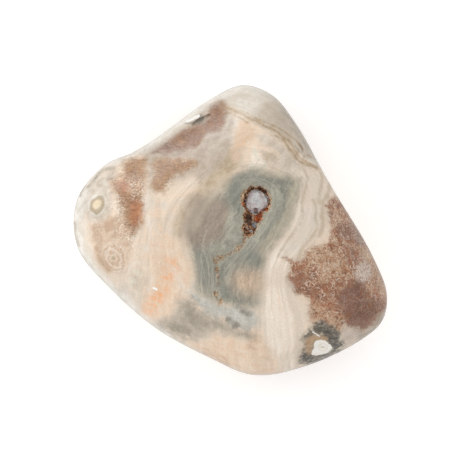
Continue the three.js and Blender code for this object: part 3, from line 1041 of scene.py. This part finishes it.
# Each layer of the jasper, from the ground up: its field, its two mottled colours, the softness
# and raggedness of its edge in millimetres, the noise that frays it, and how much it covers.
GROUND_LAYERS = [
    ("haze", "haze", "haze_pale", 0.8, 1.0, "rough", 0.9),
    ("flank_speckle", "mauve_grey", "haze", 0.5, 1.0, "rough", 0.6),
    ("sand", "sand", "grey_beige", 0.5, 0.5, "coarse", 0.9),
    ("sand_dark", "sand_dark", "beige_grey", 0.6, 1.2, "rough", 0.85),
    ("sand_pale", "grey_white", "grey_beige", 0.5, 1.0, "rough", 0.7),
    ("contour", "grey_beige", "grey_beige", 0.3, 0.4, "rough", 0.45),
    ("pink", "pink_deep", "pink", 0.6, 0.6, "coarse", 0.9),
    ("warm", "peach_cream", "peach", 1.0, 0.8, "coarse", 0.8),
    ("grey_left", "grey_beige", "haze_pale", 0.6, 0.6, "rough", 0.8),
    ("sand_margin", "tan_deep", "tan", 1.0, 0.8, "rough", 0.85),
    ("peach_streak", "peach_deep", "pink", 0.5, 0.5, "rough", 0.85),
    ("cream_curd", "beige_grey", "grey_beige", 0.6, 1.0, "rough", 0.8),
    ("cream_top", "bright_cream", "yellow_cream", 0.25, 0.3, "rough", 0.9),
    ("tan_smudge", "tan", "sand_dark", 0.35, 0.8, "rough", 0.8),
    ("tan_low", "ochre_pale", "peach", 0.6, 0.6, "rough", 0.5),
    ("tan_oval", "line_beige", "yellow_cream", 0.4, 0.4, "rough", 0.6),
    ("orange", "orange", "peach", 0.9, 0.5, "rough", 0.9),
    ("pale_line", "cream", "white", 0.35, 0.3, "coarse", 0.45),
    ("warm_line", "peach", "line_beige", 0.35, 0.3, "coarse", 0.6),
    ("olive", "olive", "sand_dark", 0.6, 0.4, "coarse", 0.75),
    ("mauve", "mauve", "mauve_grey", 0.4, 0.6, "rough", 0.9),
    ("ochre", "ochre", "ochre_pale", 0.7, 1.2, "rough", 0.9),
    ("rust", "rust", "ochre", 0.7, 1.1, "rough", 0.9),
    ("rust_deep", "rust_bright", "rust_core", 0.7, 0.8, "rough", 0.85),
    ("crest_dark", "rust_dark", "mauve", 0.5, 1.2, "rough", 0.75),
    ("moss_spot", "pale_spot", "haze_pale", 0.6, 0.8, "rough", 0.85),
    # partly the stone's whitish rim, partly a painted reflection along the left edges
    ("pale_rim_and_sheen", "white", "grey_white", 0.8, 0.6, "rough", 0.85),
    # painted shade along the upper-left edge
    ("edge_shade", "olive", "sand_dark", 0.2, 0.2, "fine", 0.85),
]
HEART_LAYERS = [
    ("heart_brown", "heart_brown", "heart_brown", 1.1, 0.6, "coarse", 0.9),
    ("heart_green", "heart_green", "heart", 0.6, 0.5, "coarse", 0.7),
    ("heart_rim", "rim_tan", "heart_edge", 0.8, 0.8, "rough", 0.6),
    ("heart_pale", "heart_pale", "strand", 0.3, 1.0, "rough", 0.6),
    ("heart_dark", "heart_dark", "heart_green", 0.45, 0.4, "middle", 0.6),
    ("peach_spot", "peach_spot", "peach_spot", 1.3, 0.9, "rough", 0.95),
    ("quartz", "quartz", "quartz_pale", 0.4, 1.3, "rough", 0.9),
    ("dark_band", "band_dark", "band_edge", 0.9, 1.2, "rough", 0.85),
    ("band_deep", "band_deep", "band_dark", 0.8, 1.2, "rough", 0.6),
    ("smudge", "smudge", "quartz_dark", 0.25, 0.5, "rough", 0.85),
]
MOSS_LAYERS = [
    ("moss_pale", "moss_pale", "moss", 0.6, 1.4, "rough", 0.75),
    ("moss_red", "moss_red", "moss", 0.5, 1.2, "rough", 0.85),
    ("moss_brown", "moss_dark", "moss_red", 0.6, 1.2, "rough", 0.82),
    ("moss_dark", "maroon", "moss_dark", 0.9, 1.8, "rough", 0.9),
    ("moss_deep", "maroon_dark", "moss_dark", 0.6, 1.2, "rough", 0.6),
    ("mauve_edge", "mauve_grey", "mauve", 0.4, 0.6, "rough", 0.8),
    ("edge_tan", "edge_tan", "moss_pale", 0.5, 0.7, "rough", 0.8),
    ("moss_spot", "pale_spot", "pale_spot", 0.4, 0.9, "rough", 0.9),
]

# The same for layers of one colour.
BAND_LAYERS = [
    ("bright_low", "bright_cream", 0.8, 0.8, "rough", 0.7),
    ("tan_line", "tan", 0.25, 0.5, "rough", 0.75),
    ("line_stain", "tan", 0.5, 0.7, "rough", 0.55),
    ("heart", "heart_edge", 1.6, 0.5, "coarse", 0.8),
]
LINE_LAYERS = [
    ("brown_arc", "ochre_pale", 0.4, 0.3, "middle", 0.7),
    ("brown_line", "line_brown", 0.16, 0.3, "middle", 0.7),
    ("dark_line", "line_dark", 0.16, 0.3, "middle", 0.55),
]
# Painted shade in the chip, a painted highlight along its edge and painted glints.
TOP_LAYERS = [
    ("chip_shade", "smudge", 0.15, 0.2, "fine", 1),
    ("chip_gleam", "white", 0.1, 0.1, "fine", 1),
    ("glint", "glint", 0.06, 0.03, "fine", 1),
]

# Colours along the growth, and along the distance from an orb's middle.
BANDS = [
    (4.6, "line_beige"), (5.0, "cream"), (5.3, "cream"), (5.5, "band_line"), (5.8, "bright_cream"),
    (6.3, "bright_cream"), (6.5, "cream"), (6.8, "bright_cream"), (7.3, "bright_cream"),
    (7.6, "peach_cream"), (7.9, "bright_cream"), (8.2, "cream"), (8.5, "bright_cream"),
    (9.0, "cream"), (9.3, "band_line"), (9.6, "cream"), (10.2, "cream"),
]
ORB_CORE = [
    (0.4, "orb_core"), (0.75, "orb_core"), (1.15, "tan"), (1.65, "orb_ring"), (2.1, "grey_white"),
    (2.6, "line_beige"), (3.1, "grey_white"),
]
ORB_RINGS = [
    (0.0, "orb_ring"), (0.12, "tan"), (0.2, "cream"), (0.28, "pink"), (0.34, "pink_deep"),
    (0.42, "cream"), (0.5, "cream"), (0.58, "pink_deep"), (0.66, "pink"), (0.74, "cream"),
    (0.84, "pink"), (1.0, "cream"),
]

# Each kind of orb: its field, how uneven it is, where it ends and where it is whole, as shares of
# its radius, how much it covers and its colours.
ORB_LAYERS = [
    ("cored_orb", 1.3, 3.4, 1.8, 0.85, ORB_CORE),
    ("face_orb", 0.5, 1.15, 0.7, 0.65, ORB_RINGS),
    ("ringed_orb", 0.5, 1.15, 0.7, 0.7, ORB_RINGS),
]

# Colours along noises.
GROUND_STOPS = [
    (0.3, "grey_beige"), (0.42, "cream"), (0.5, "peach_cream"), (0.6, "cream"), (0.72, "peach_cream"),
]
HEART_STOPS = [(0.3, "heart_dark"), (0.45, "heart"), (0.56, "heart_pale"), (0.68, "strand")]
MOSS_STOPS = [
    (0.36, "moss_dark"), (0.43, "moss_red"), (0.49, "moss"), (0.56, "moss_pale"), (0.66, "moss"),
]
HALO_STOPS = [(0.36, "halo_deep"), (0.46, "halo"), (0.54, "halo_pale"), (0.66, "line_beige")]
SEAM_STOPS = [
    (0.34, "speck"), (0.42, "seam"), (0.5, "seam"), (0.58, "seam_bright"), (0.64, "seam_pale"),
]
STAIN_STOPS = [
    (0.34, "speck"), (0.44, "seam"), (0.52, "line_brown"), (0.58, "seam_bright"), (0.66, "seam_pale"),
]
CRUST_STOPS = [
    (0.3, "speck"), (0.38, "crystal_dark"), (0.45, "seam"), (0.51, "crystal_rust"),
    (0.57, "seam_bright"), (0.64, "seam_pale"),
]


def cover(s, name, soft, ragged, fray, most=1):
    """The share of each place that a marking covers."""
    shift = s.product(s.centred(s.frays[fray]), 2 * ragged)
    return s.product(s.step(s.maths("ADD", s.field(name), shift), -soft, soft), most)


def plain(s, colour, layers):
    """Lays markings over a colour, one after the other, each in a palette colour or a socket."""
    for name, drawn, *edge in layers:
        colour = s.blend(cover(s, name, *edge), colour, drawn)
    return colour


def layered(s, colour, layers):
    """The same for markings that are mottled in two colours."""
    for number, (name, first, second, *edge) in enumerate(layers):
        mottle = s.step(s.texture("mottle", shift=(MOTTLE_SHIFT * number, 0, 0)), 0.38, 0.62)
        colour = plain(s, colour, [(name, s.blend(mottle, first, second), *edge)])
    return colour


def warped(s, size, reach):
    """The growth field, shaken by a noise so that its lines curdle."""
    return s.maths("MULTIPLY_ADD", s.centred(s.noise(size, 3, 0.6)), reach, s.field("growth"))


def threads(s, name):
    """Noise drawn out along the growth lines."""
    size, reach, along, across, detail, roughness = THREADS[name]
    return s.noise(along, detail, roughness, deep=s.product(warped(s, size, reach), along / across))


def isolines(s, value, width):
    """Thin winding lines where a noise passes its middle."""
    return s.step(s.maths("ABSOLUTE", s.centred(value)), width, 0.3 * width)


def ground_colour(s):
    drawn = s.step(threads(s, "ground"), 0.44, 0.66)
    return s.blend(s.product(drawn, 0.45), s.ramp(s.frays["wide"], GROUND_STOPS), "line_beige")


def band_colour(s):
    """The curdled bands about the heart, greyer beside it and plain in patches."""
    curdled = s.maths("MULTIPLY_ADD", s.centred(s.texture("curdle")), 0.5, warped(s, 2.5, 0.9))
    bands = plain(s, s.ramp(curdled, BANDS), [("band_grey", "grey_beige", 0.7, 0.8, "rough", 0.65)])
    return s.blend(s.product(s.step(s.frays["wide"], 0.4, 0.56), 0.75), bands, "cream")


def heart_colour(s):
    drawn = s.ramp(threads(s, "heart"), HEART_STOPS)
    return s.blend(s.product(s.step(s.frays["coarse"], 0.35, 0.65), 0.6), drawn, "heart")


def moss_colour(s):
    """Iron-stained moss: tan and rust patches with fine pale curls and dark grains."""
    body = layered(s, s.ramp(s.texture("moss"), MOSS_STOPS), MOSS_LAYERS)
    dark_zone = cover(s, "moss_dark", 0.5, 1.0, "rough")
    calm = s.maths("SUBTRACT", 1.0, s.product(dark_zone, 0.6))
    patchy = s.step(s.frays["rough"], 0.42, 0.58)
    rusty = s.step(s.texture("moss_rust"), 0.5, 0.62)
    worms = isolines(s, s.texture("moss_worms"), 0.06)
    crinkles = isolines(s, s.texture("moss_crinkles"), 0.05)
    dark = s.step(s.texture("moss_specks"), 0.57, 0.65)
    for drawn, *shares in (("moss_red", rusty, 0.5), ("moss_worm", worms, 0.75, calm, patchy),
                           ("speck", crinkles, 0.35, dark_zone), ("speck", dark, 0.75, calm)):
        body = s.blend(s.product(*shares), body, drawn)
    return body


def eye_colour(s, colour):
    """The dark halo, its tan crescent and the chalky eye in it."""
    golden = s.blend(s.step(s.frays["middle"], 0.4, 0.6), "tan_crescent", "ochre_pale")
    return plain(s, colour, [
        ("halo", s.ramp(s.texture("halo"), HALO_STOPS), 0.45, 0.9, "rough", 0.9),
        ("halo_deep", "halo_deep", 0.35, 0.9, "rough", 0.6),
        ("tan_crescent", golden, 0.35, 0.9, "rough", 0.85),
        ("eye", "chalk_tan", 0.12, 0.15, "middle", 1),
        ("eye", "chalk", 0.05, 0.15, "middle", 1),
        ("eye_ring", "chalk_ring", 0.06, 0.06, "fine", 0.9),
    ])


def orb_colours(s, colour):
    uneven = s.centred(s.texture("orbs"))
    for name, shaken, end, whole, most, stops in ORB_LAYERS:
        away = s.maths("ADD", s.field(name), s.product(uneven, shaken))
        colour = s.blend(s.product(s.step(away, end, whole), most), colour, s.ramp(away, stops))
    return colour


def seam_colour(s, colour):
    """The rusty healed seam: a thin broken brown line with bright and dark grains along it."""
    broken = s.step(s.frays["coarse"], 0.3, 0.42)
    grains = s.ramp(s.texture("seam"), SEAM_STOPS)
    return s.blend(s.product(cover(s, "seam", 0.2, 0.5, "middle", 0.68), broken), colour, grains)


def hollow_colour(s, colour, hollow):
    """Rusty grains in the hollows, on their rims and in the stain beside the vug."""
    stains = s.ramp(s.texture("stains"), STAIN_STOPS)
    rim = s.product(s.step(s.field("rim"), 0.2, 0.02), s.step(s.frays["fine"], 0.42, 0.6))
    for share, most in ((hollow, 0.85), (rim, 0.5), (cover(s, "vug_stain", 0.08, 0.3, "fine"), 0.9)):
        colour = s.blend(s.product(share, most), colour, stains)
    return colour


def fine_texture(s, heart, moss):
    """How much lighter or darker each place is than its layer: threads, fibres, curls and grain."""
    rusty = s.maths("MAXIMUM", cover(s, "ochre", 0.4, 0.6, "middle"), cover(s, "mauve", 0.35, 0.5, "middle"))
    total = 1.0
    for drawn, *strengths in (
            (s.texture("grain"), 0.3),
            (threads(s, "fine"), s.maths("MULTIPLY_ADD", heart, 1.45, 0.12)),
            (threads(s, "broad"), 0.36),
            (s.texture("rust_fibres", place=s.turned(**RUST_FIBRES)), rusty, 1.3),
            (s.texture("rust_grain"), rusty, 1.5),
            (s.texture("moss_grain"), moss, 0.5),
            (s.texture("quartz_grain"), cover(s, "quartz", 0.4, 1.3, "rough"), 0.6)):
        total = s.maths("ADD", total, s.product(s.centred(drawn), *strengths))
    return total


def jasper():
    """Polished ocean jasper."""
    s = Shades("polished_jasper", FRAYS)
    heart, moss = cover(s, "heart", 0.9, 1.0, "rough"), cover(s, "moss", 0.4, 1.2, "rough")
    colour = layered(s, ground_colour(s), GROUND_LAYERS)
    colour = plain(s, colour, [("banded", band_colour(s), 0.8, 0.6, "rough"), *BAND_LAYERS])
    colour = s.blend(s.product(heart, 0.94), colour, heart_colour(s))
    colour = layered(s, colour, HEART_LAYERS)
    flecks = s.step(s.texture("flecks"), 0.66, 0.72)
    flecked = s.product(flecks, cover(s, "dark_band", 0.5, 0.5, "rough", 0.55))
    colour = s.blend(flecked, colour, "bright_cream")
    colour = plain(s, colour, [("strands", "strand", 0.12, 0.15, "fine", 0.6),
                               ("moss", "edge_tan", 0.8, 1.2, "rough", 0.6)])
    colour = s.blend(moss, colour, moss_colour(s))
    colour = orb_colours(s, eye_colour(s, colour))
    colour = seam_colour(s, plain(s, colour, LINE_LAYERS))
    hollow = s.product(s.step(s.field("below"), 0.02, 0.25), s.step(s.field("rim"), 0.4, 0.1))
    # Then the chip's painted shade and highlight, and the painted glints.
    colour = plain(s, hollow_colour(s, colour, hollow), TOP_LAYERS)
    curls = isolines(s, s.texture("curls"), 0.05)
    curls = s.product(curls, cover(s, "squiggles", 0.6, 1.2, "rough", 0.6))
    colour = s.blend(curls, colour, "bright_cream")

    rough = s.maths("MULTIPLY_ADD", s.frays["middle"], 0.12, s.product(moss, 0.08))
    s.bump(s.product(s.texture("polish"), s.spread(moss, 0.15, 1.0)), POLISH_DEPTH)
    return s.finished({
        "Base Color": s.vector("SCALE", colour, Scale=fine_texture(s, heart, moss)),
        "Roughness": s.maths("ADD", rough, s.spread(hollow, 0.12, 0.4)),
        "IOR": QUARTZ_IOR,
        "Subsurface Weight": 0.1,
        "Subsurface Radius": (1.0, 0.7, 0.5),
        "Subsurface Scale": MM,
    })


# The layers of the crust, with the same columns as those of the jasper.
CRUST_LAYERS = [
    ("mound", "crystal", "crystal_pink", 0.1, 0.15, "fine", 1.0),
    ("peach_rim", "peach", "orange", 0.08, 0.1, "fine", 0.9),
    ("blue", "crystal_blue", "crystal", 0.08, 0.1, "fine", 0.9),
    ("orange_crystals", "crystal_orange", "crystal_rust", 0.1, 0.15, "fine", 1.0),
    # painted highlights on crystals of the tail
    ("painted_crystal_highlight", "crystal_pink", "crystal", 0.06, 0.05, "fine", 0.9),
    # dark crystals and painted shade in the crevices
    ("dark_crystals_and_shade", "crystal_dark", "speck", 0.06, 0.08, "fine", 0.8),
]


def quartz_crust():
    """Quartz points, pale on the mound and stained with iron elsewhere, with painted shade in the crevices
    and painted highlights in the tail.
    """
    s = Shades("quartz_crust", ["fine"])
    s.bump(s.texture("facets"), FACET_DEPTH)
    return s.finished({
        "Base Color": layered(s, s.ramp(s.texture("crust"), CRUST_STOPS), CRUST_LAYERS),
        "Roughness": s.spread(s.frays["fine"], 0.12, 0.4),
        "IOR": QUARTZ_IOR,
        "Specular IOR Level": 0.35,
    })


# The crystals in the hollows, and their markings on the plan.

CRUST_AREAS = {
    "mound": [
        [(249, 193), (252, 190), (258, 190), (263, 193), (269, 198), (268, 204), (265, 208), (260, 212),
         (256, 215), (251, 213), (248, 209), (245.5, 204), (247, 198)],
    ],
    "orange_crystals": [
        [(255, 217), (259, 213), (263, 210), (267, 208), (270, 210), (267, 216), (261, 221), (256, 222)],
    ],
    # Dark crystals, and painted shade in the crevices between the mound and the wall.
    "dark_crystals_and_shade": [
        [(258, 187), (262, 188), (267, 191), (266, 194), (262, 191), (258, 190)],
        [(254, 208), (257, 208), (258, 212), (256, 214), (254, 212)],
        [(247, 215), (251, 215), (252, 220), (251, 225), (247, 224), (246, 219)],
        [(241, 193), (245, 192), (245, 201), (241, 202)],
    ],
    "blue": [
        [(252, 223), (256, 222), (257, 226), (254, 228), (252, 226)],
    ],
}
CRUST_LINES = {
    "orange_crystals": [
        ([(243, 203), (243, 206)], 3),
    ],
    "peach_rim": [
        ([(268, 191), (271.5, 197), (271.5, 204), (268, 211)], 4.5),
        ([(253, 215), (253, 221)], 1.8),
    ],
    # Painted highlights on the brown crystals in the vug's tail.
    "painted_crystal_highlight": [
        ([(250.5, 231), (252, 231.5)], 2.4),
        ([(247, 228), (248, 229)], 1.6),
    ],
}
# The mound in the vug, with the same sizes as a hollow, and the druse on it and on the floor.
MOUND = {"at": (3.3, 3.45), "radius": 1.62, "sink": 1.4, "lumps": 0.07, "rise": 0.9}
MOUND_DRUSE = {"size": 0.22, "depth": 0.035, "step": 0.5}
CRUST_FLOOR = 0.35        # floor of a bubble below its centre, as a share of its radius
SIDES = 6                 # of a quartz point
POINT_WIDTH = 0.32        # its width, as a share of its length
POINT_PRISM = 0.55        # how much of it is prism, up to where its tip starts
ROOT = 0.25               # how much more of it is sunk in what it grows on
UNDER_FACE = 0.04         # the least depth of a crystal's tip below the polished face
LEAN = 0.35               # how far points stray from square to what they grow on
RAY_RISE = 0.4            # how far above a bubble's centre its rays start

# How many rays look for places to grow, and the least and most length of the points there.
VUG_RAYS = (1500, 600, 350)
MOUND_RAYS = 500
PIT_RAYS = 8
WALL_POINT = (0.16, 0.42)
MOUND_POINT = (0.07, 0.16)
PIT_POINT = (0.04, 0.1)


def quartz_points(name, planting, rng):
    """Closed six-sided quartz points, one for each root, axis and length."""
    turns = 2 * np.pi * np.arange(SIDES) / SIDES
    ring = POINT_WIDTH / 2 * np.column_stack([np.cos(turns), np.sin(turns)])
    low = np.column_stack([ring, np.full(SIDES, -ROOT)])
    high = np.column_stack([ring, np.full(SIDES, POINT_PRISM)])
    template = np.vstack([low, high, [0, 0, 1]])
    side = [(i, (i + 1) % SIDES, SIDES + (i + 1) % SIDES, SIDES + i) for i in range(SIDES)]
    cap = [(SIDES + i, SIDES + (i + 1) % SIDES, 2 * SIDES) for i in range(SIDES)]
    faces = [tuple(reversed(range(SIDES))), *side, *cap]
    points, every_face = [], []
    for number, (root, axis, length) in enumerate(planting):
        spin = Matrix.Rotation(rng.uniform(0, np.pi), 3, "Z")
        turn = axis.to_track_quat("Z", "Y").to_matrix() @ spin
        points.append(root + length * template @ np.array(turn).T)
        every_face += [tuple(v + number * len(template) for v in face) for face in faces]
    return mesh_object(name, np.concatenate(points), every_face)


def planted(inside, around, face, count, lengths, rng):
    """Places for crystals: where random rays from inside a hollow meet what lies around it."""
    planting = []
    for direction in rng.normal(size=(count, 3)):
        hit, normal, _, _ = around.ray_cast(inside, Vector(direction).normalized())
        if hit is None:
            continue
        if normal.dot(Vector(direction)) > 0:
            normal = -normal
        axis = (normal + LEAN * Vector(rng.normal(size=3))).normalized()
        depth = height_over(face, hit) - hit.z
        length = rng.uniform(*lengths)
        if axis.z > 0:
            length = min(length, (depth - UNDER_FACE) / axis.z)
        if length > lengths[0]:
            planting.append((np.array(hit), axis, length))
    return planting


def floor_fill(hole, centre):
    """The crust on the floor of a bubble: a closed lumpy fill with a druse for its top."""
    ball = bubble({**hole, "radius": hole["radius"] - CRUST_GAP}, centre, VUG_FINENESS)
    points = corners_of(ball.data)
    level = centre.z - CRUST_FLOOR * hole["radius"]
    for point in points:
        druse = noise.noise(Vector(point / MOUND_DRUSE["size"]))
        point[2] = min(point[2], level + MOUND_DRUSE["depth"] * druse)
    ball.data.vertices.foreach_set("co", points.ravel())
    return ball


def mound(centre):
    """The rounded mound in the round end of the vug, rough with tiny crystals."""
    ball = bubble(MOUND, centre, VUG_FINENESS)
    for v in ball.data.vertices:
        away = v.co - centre
        cell = noise.cell(v.co / MOUND_DRUSE["size"])
        druse = noise.noise(v.co / MOUND_DRUSE["size"]) + MOUND_DRUSE["step"] * cell
        v.co += MOUND_DRUSE["depth"] * druse * away.normalized()
    return ball


def merged(objects):
    """The points and faces of several meshes as one list each."""
    points, faces = [], []
    for each in objects:
        faces += [[v + len(points) for v in face.vertices] for face in each.data.polygons]
        points += [v.co.copy() for v in each.data.vertices]
    return points, faces


def joined(name, objects):
    """Several meshes as one object, with smooth and flat faces kept."""
    whole = mesh_object(name, *merged(objects))
    smooth = [face.use_smooth for each in objects for face in each.data.polygons]
    whole.data.polygons.foreach_set("use_smooth", smooth)
    for each in objects:
        bpy.data.objects.remove(each)
    return whole


# The pieces.

# What polishing leaves: depths, and how far each edge reaches.
RELIEF = {"seam": 0.09, "cracks": 0.04, "eye": 0.05, "lip": 0.12}
RELIEF_EDGE = {"seam": 0.15, "cracks": 0.1, "eye": 0.2, "lip": 0.3}
GROOVE_WIDTH = 2.5    # in pixels, as the lines of the plan
GROOVE_BREAKS = 0.8   # size of the gaps in the seam's groove
SHARP_ANGLE = 38


def rim_distance(points, holes):
    """The distance from the nearest hollow's bubble, negative inside it."""
    return np.min([np.linalg.norm(points - np.array(centre), axis=1) - hole["radius"]
                   for hole, centre in holes], axis=0)


def relief(points, places, holes):
    """How deep the seam's groove, the cracks, the eye's edge and the vug's worn lip are."""
    grooves = [(line, GROOVE_WIDTH) for line, _ in LINES["seam"]]
    broken = np.array([0.5 + noise.noise(Vector(point / GROOVE_BREAKS)) for point in points])
    share = {
        "seam": np.clip(marking_field(places, lines=grooves) / RELIEF_EDGE["seam"], 0, 1),
        "cracks": np.clip(marking_field(places, lines=LINES["dark_line"]) / RELIEF_EDGE["cracks"], 0, 1),
        "eye": np.exp(-(marking_field(places, AREAS["eye"]) / RELIEF_EDGE["eye"]) ** 2),
        "lip": np.exp(-np.maximum(rim_distance(points, holes), 0) / RELIEF_EDGE["lip"]),
    }
    share["seam"] *= np.clip(broken, 0, 1)
    return sum(RELIEF[name] * share[name] for name in RELIEF) * (points[:, 2] > points[:, 2].mean())


def build_pebble():
    """The pebble with its hollows, and the polished face, the hollows and the widest level."""
    low, high = (np.array(corner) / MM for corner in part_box("stone"))
    sphere, faces = sphere_mesh(SPHERE_STEPS, TOWARDS_CROWN)
    made = pebble_points(sphere)
    shift = (low + high - made.min(0) - made.max(0)) / 2
    widest = low[2] + BASE_DEPTH - REST_CUT
    points = fitted(made, low, high)
    face = BVHTree.FromPolygons(points.tolist(), faces.tolist())
    holes = {name: [(hole, centre_of(hole, face, shift)) for hole in group]
             for name, group in (("vug", VUG), ("chip", [CHIP]))}
    holes["grains"] = seam_grains(face, shift)
    every_hole = [pair for group in holes.values() for pair in group]
    points[:, 2] -= relief(points, plan_of(points, widest), every_hole)
    pebble = mesh_object("pebble", points, faces)
    fineness = {"vug": VUG_FINENESS, "chip": PIT_FINENESS, "grains": GRAIN_FINENESS}
    first, *others = [bubble(hole, centre, fineness[name]) for name, group in holes.items()
                      for hole, centre in group]
    for other in others:
        combine(first, other, "UNION")
    combine(pebble, first, "DIFFERENCE")
    mesh = pebble.data
    write_jasper_fields(mesh, face, widest)
    corners = corners_of(mesh)
    write_field(mesh, "rim", rim_distance(corners, holes["vug"] + holes["grains"]))
    write_field(mesh, "below", [face.find_nearest(corner)[3] for corner in corners])
    mesh.shade_smooth()
    mesh.set_sharp_from_angle(angle=math.radians(SHARP_ANGLE))
    return pebble, face, holes, widest


def build_crust(pebble, face, holes):
    """The crust of the vug: a floor, a mound, and points on them and on the wall."""
    rng = np.random.default_rng(SEEDS["vug"])
    (_, middle), *_ = holes["vug"]
    fills = [floor_fill(hole, centre) for hole, centre in holes["vug"]]
    at = (middle.x + MOUND["at"][0] - VUG[0]["at"][0], middle.y + MOUND["at"][1] - VUG[0]["at"][1])
    top = height_over(face, at)
    heap = mound(Vector((*at, top - MOUND["sink"])))
    walls = BVHTree.FromPolygons(*merged([pebble, *fills]))
    planting = []
    for (_, centre), count in zip(holes["vug"], VUG_RAYS):
        planting += planted(centre + Vector((0, 0, RAY_RISE)), walls, face, count, WALL_POINT, rng)
    above, slopes = Vector((*at, top - UNDER_FACE)), BVHTree.FromPolygons(*merged([heap]))
    planting += planted(above, slopes, face, MOUND_RAYS, MOUND_POINT, rng)
    return joined("vug_crystals", [*fills, heap, quartz_points("points", planting, rng)])


def build_seam_crystals(pebble, face, holes):
    """Tiny quartz points in the openings of the seam."""
    rng = np.random.default_rng(SEEDS["seam"])
    walls = BVHTree.FromPolygons(*merged([pebble]))
    planting = []
    for _, centre in holes["grains"]:
        planting += planted(centre, walls, face, PIT_RAYS, PIT_POINT, rng)
    return quartz_points("seam_crystals", planting, rng)


def finish_piece(piece, material, node=None):
    """Gives a piece its material, brings it to metres and puts it on its body."""
    piece.data.transform(Matrix.Scale(MM, 4))
    piece.data.materials.clear()
    piece.data.materials.append(material)
    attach(piece, "root")
    if node:
        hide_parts(node)


# The stage: a pale floor and backdrop, a sky that is brighter to the upper left, soft boxes and the
# camera. Directions are a bearing and a tilt from straight up, in degrees.

SENSOR = 36
CLIP_START = 0.01   # in metres
SKY = {"bearing": 145, "tilt": 55, "least": 0.5, "most": 1.08}
FLOOR = [(-1, -1, 0), (1, -1, 0), (1, 1, 0), (-1, 1, 0)]   # corners in metres
FLOOR_ALBEDO = 0.9
FLOOR_GLOW = 0.32
BACKDROP = {"radius": 1500, "fineness": 4}
SOFT_BOXES = [
    {"bearing": 138, "tilt": 85, "away": 300, "size": (280, 34), "radiance": 2.5},
    {"bearing": 190, "tilt": 84, "away": 300, "size": (200, 34), "radiance": 1.8},
]


def soft_box(number, bearing, tilt, away, size, radiance):
    """A soft box that faces the pebble and isn't itself seen."""
    lamp = bpy.data.lights.new(f"soft_box_{number}", "AREA")
    lamp.shape, lamp.size, lamp.size_y = "RECTANGLE", size[0] * MM, size[1] * MM
    lamp.energy = radiance * math.pi * lamp.size * lamp.size_y
    made = linked(lamp.name, lamp)
    back = Vector(tilted(bearing, tilt))
    made.location = back * away * MM
    made.rotation_euler = back.to_track_quat("Z", "Y").to_euler()
    made.visible_camera = False


def sky():
    """A world that grows brighter towards one direction."""
    world = bpy.data.worlds.new("studio")
    world.use_nodes = True
    nodes, links = world.node_tree.nodes, world.node_tree.links
    facing = nodes.new("ShaderNodeVectorMath")
    facing.operation = "DOT_PRODUCT"
    facing.inputs[1].default_value = Vector(tilted(SKY["bearing"], SKY["tilt"]))
    strength = nodes.new("ShaderNodeMapRange")
    strength.interpolation_type = "SMOOTHSTEP"
    limits = {"From Min": -1, "From Max": 1, "To Min": SKY["least"], "To Max": SKY["most"]}
    for name, limit in limits.items():
        strength.inputs[name].default_value = limit
    background = nodes["Background"]
    background.inputs["Color"].default_value = (1, 1, 1, 1)
    links.new(nodes.new("ShaderNodeTexCoord").outputs["Generated"], facing.inputs[0])
    links.new(facing.outputs["Value"], strength.inputs["Value"])
    links.new(strength.outputs["Result"], background.inputs["Strength"])
    return world


def pale(name, albedo, glow):
    """A matt white material that glows a little."""
    material = bpy.data.materials.new(name)
    material.use_nodes = True
    surface = material.node_tree.nodes["Principled BSDF"]
    inputs = {"Base Color": (albedo, albedo, albedo, 1), "Roughness": 0.9, "Specular IOR Level": 0,
              "Emission Color": (1, 1, 1, 1), "Emission Strength": glow}
    for name, value in inputs.items():
        surface.inputs[name].default_value = value
    return material


def backdrop():
    """A white dome that only the camera sees."""
    ball = bmesh.new()
    bmesh.ops.create_icosphere(ball, subdivisions=BACKDROP["fineness"], radius=BACKDROP["radius"] * MM)
    dome = ball_object("backdrop", ball)
    dome.visible_diffuse = dome.visible_glossy = dome.visible_shadow = dome.visible_transmission = False
    dome.data.materials.append(pale("white_backdrop", 0, 1))


def stage(widest):
    scene = bpy.context.scene
    scene.view_settings.view_transform = "Standard"
    scene.world = sky()
    floor = mesh_object("floor", FLOOR, [(0, 1, 2, 3)])
    floor.visible_glossy = False
    floor.data.materials.append(pale("white_floor", FLOOR_ALBEDO, FLOOR_GLOW))
    backdrop()

    for number, box in enumerate(SOFT_BOXES):
        soft_box(number, **box)

    view = bpy.data.cameras.new("camera")
    view.sensor_width = SENSOR
    view.lens = SENSOR * VIEW_HEIGHT * PIXELS_PER_MM / FRAME_PIXELS
    view.clip_start = CLIP_START
    scene.camera = linked("camera", view)
    scene.camera.location.z = (widest + VIEW_HEIGHT) * MM


pebble, face, holes, widest = build_pebble()
crust = build_crust(pebble, face, holes)
seam_crystals = build_seam_crystals(pebble, face, holes)
for crystals in (crust, seam_crystals):
    write_markings(crystals.data, plan_of(corners_of(crystals.data), widest), CRUST_AREAS, CRUST_LINES)
crust_material = quartz_crust()
finish_piece(pebble, jasper(), "stone")
finish_piece(crust, crust_material, "vug_crust")
finish_piece(seam_crystals, crust_material)
stage(widest)
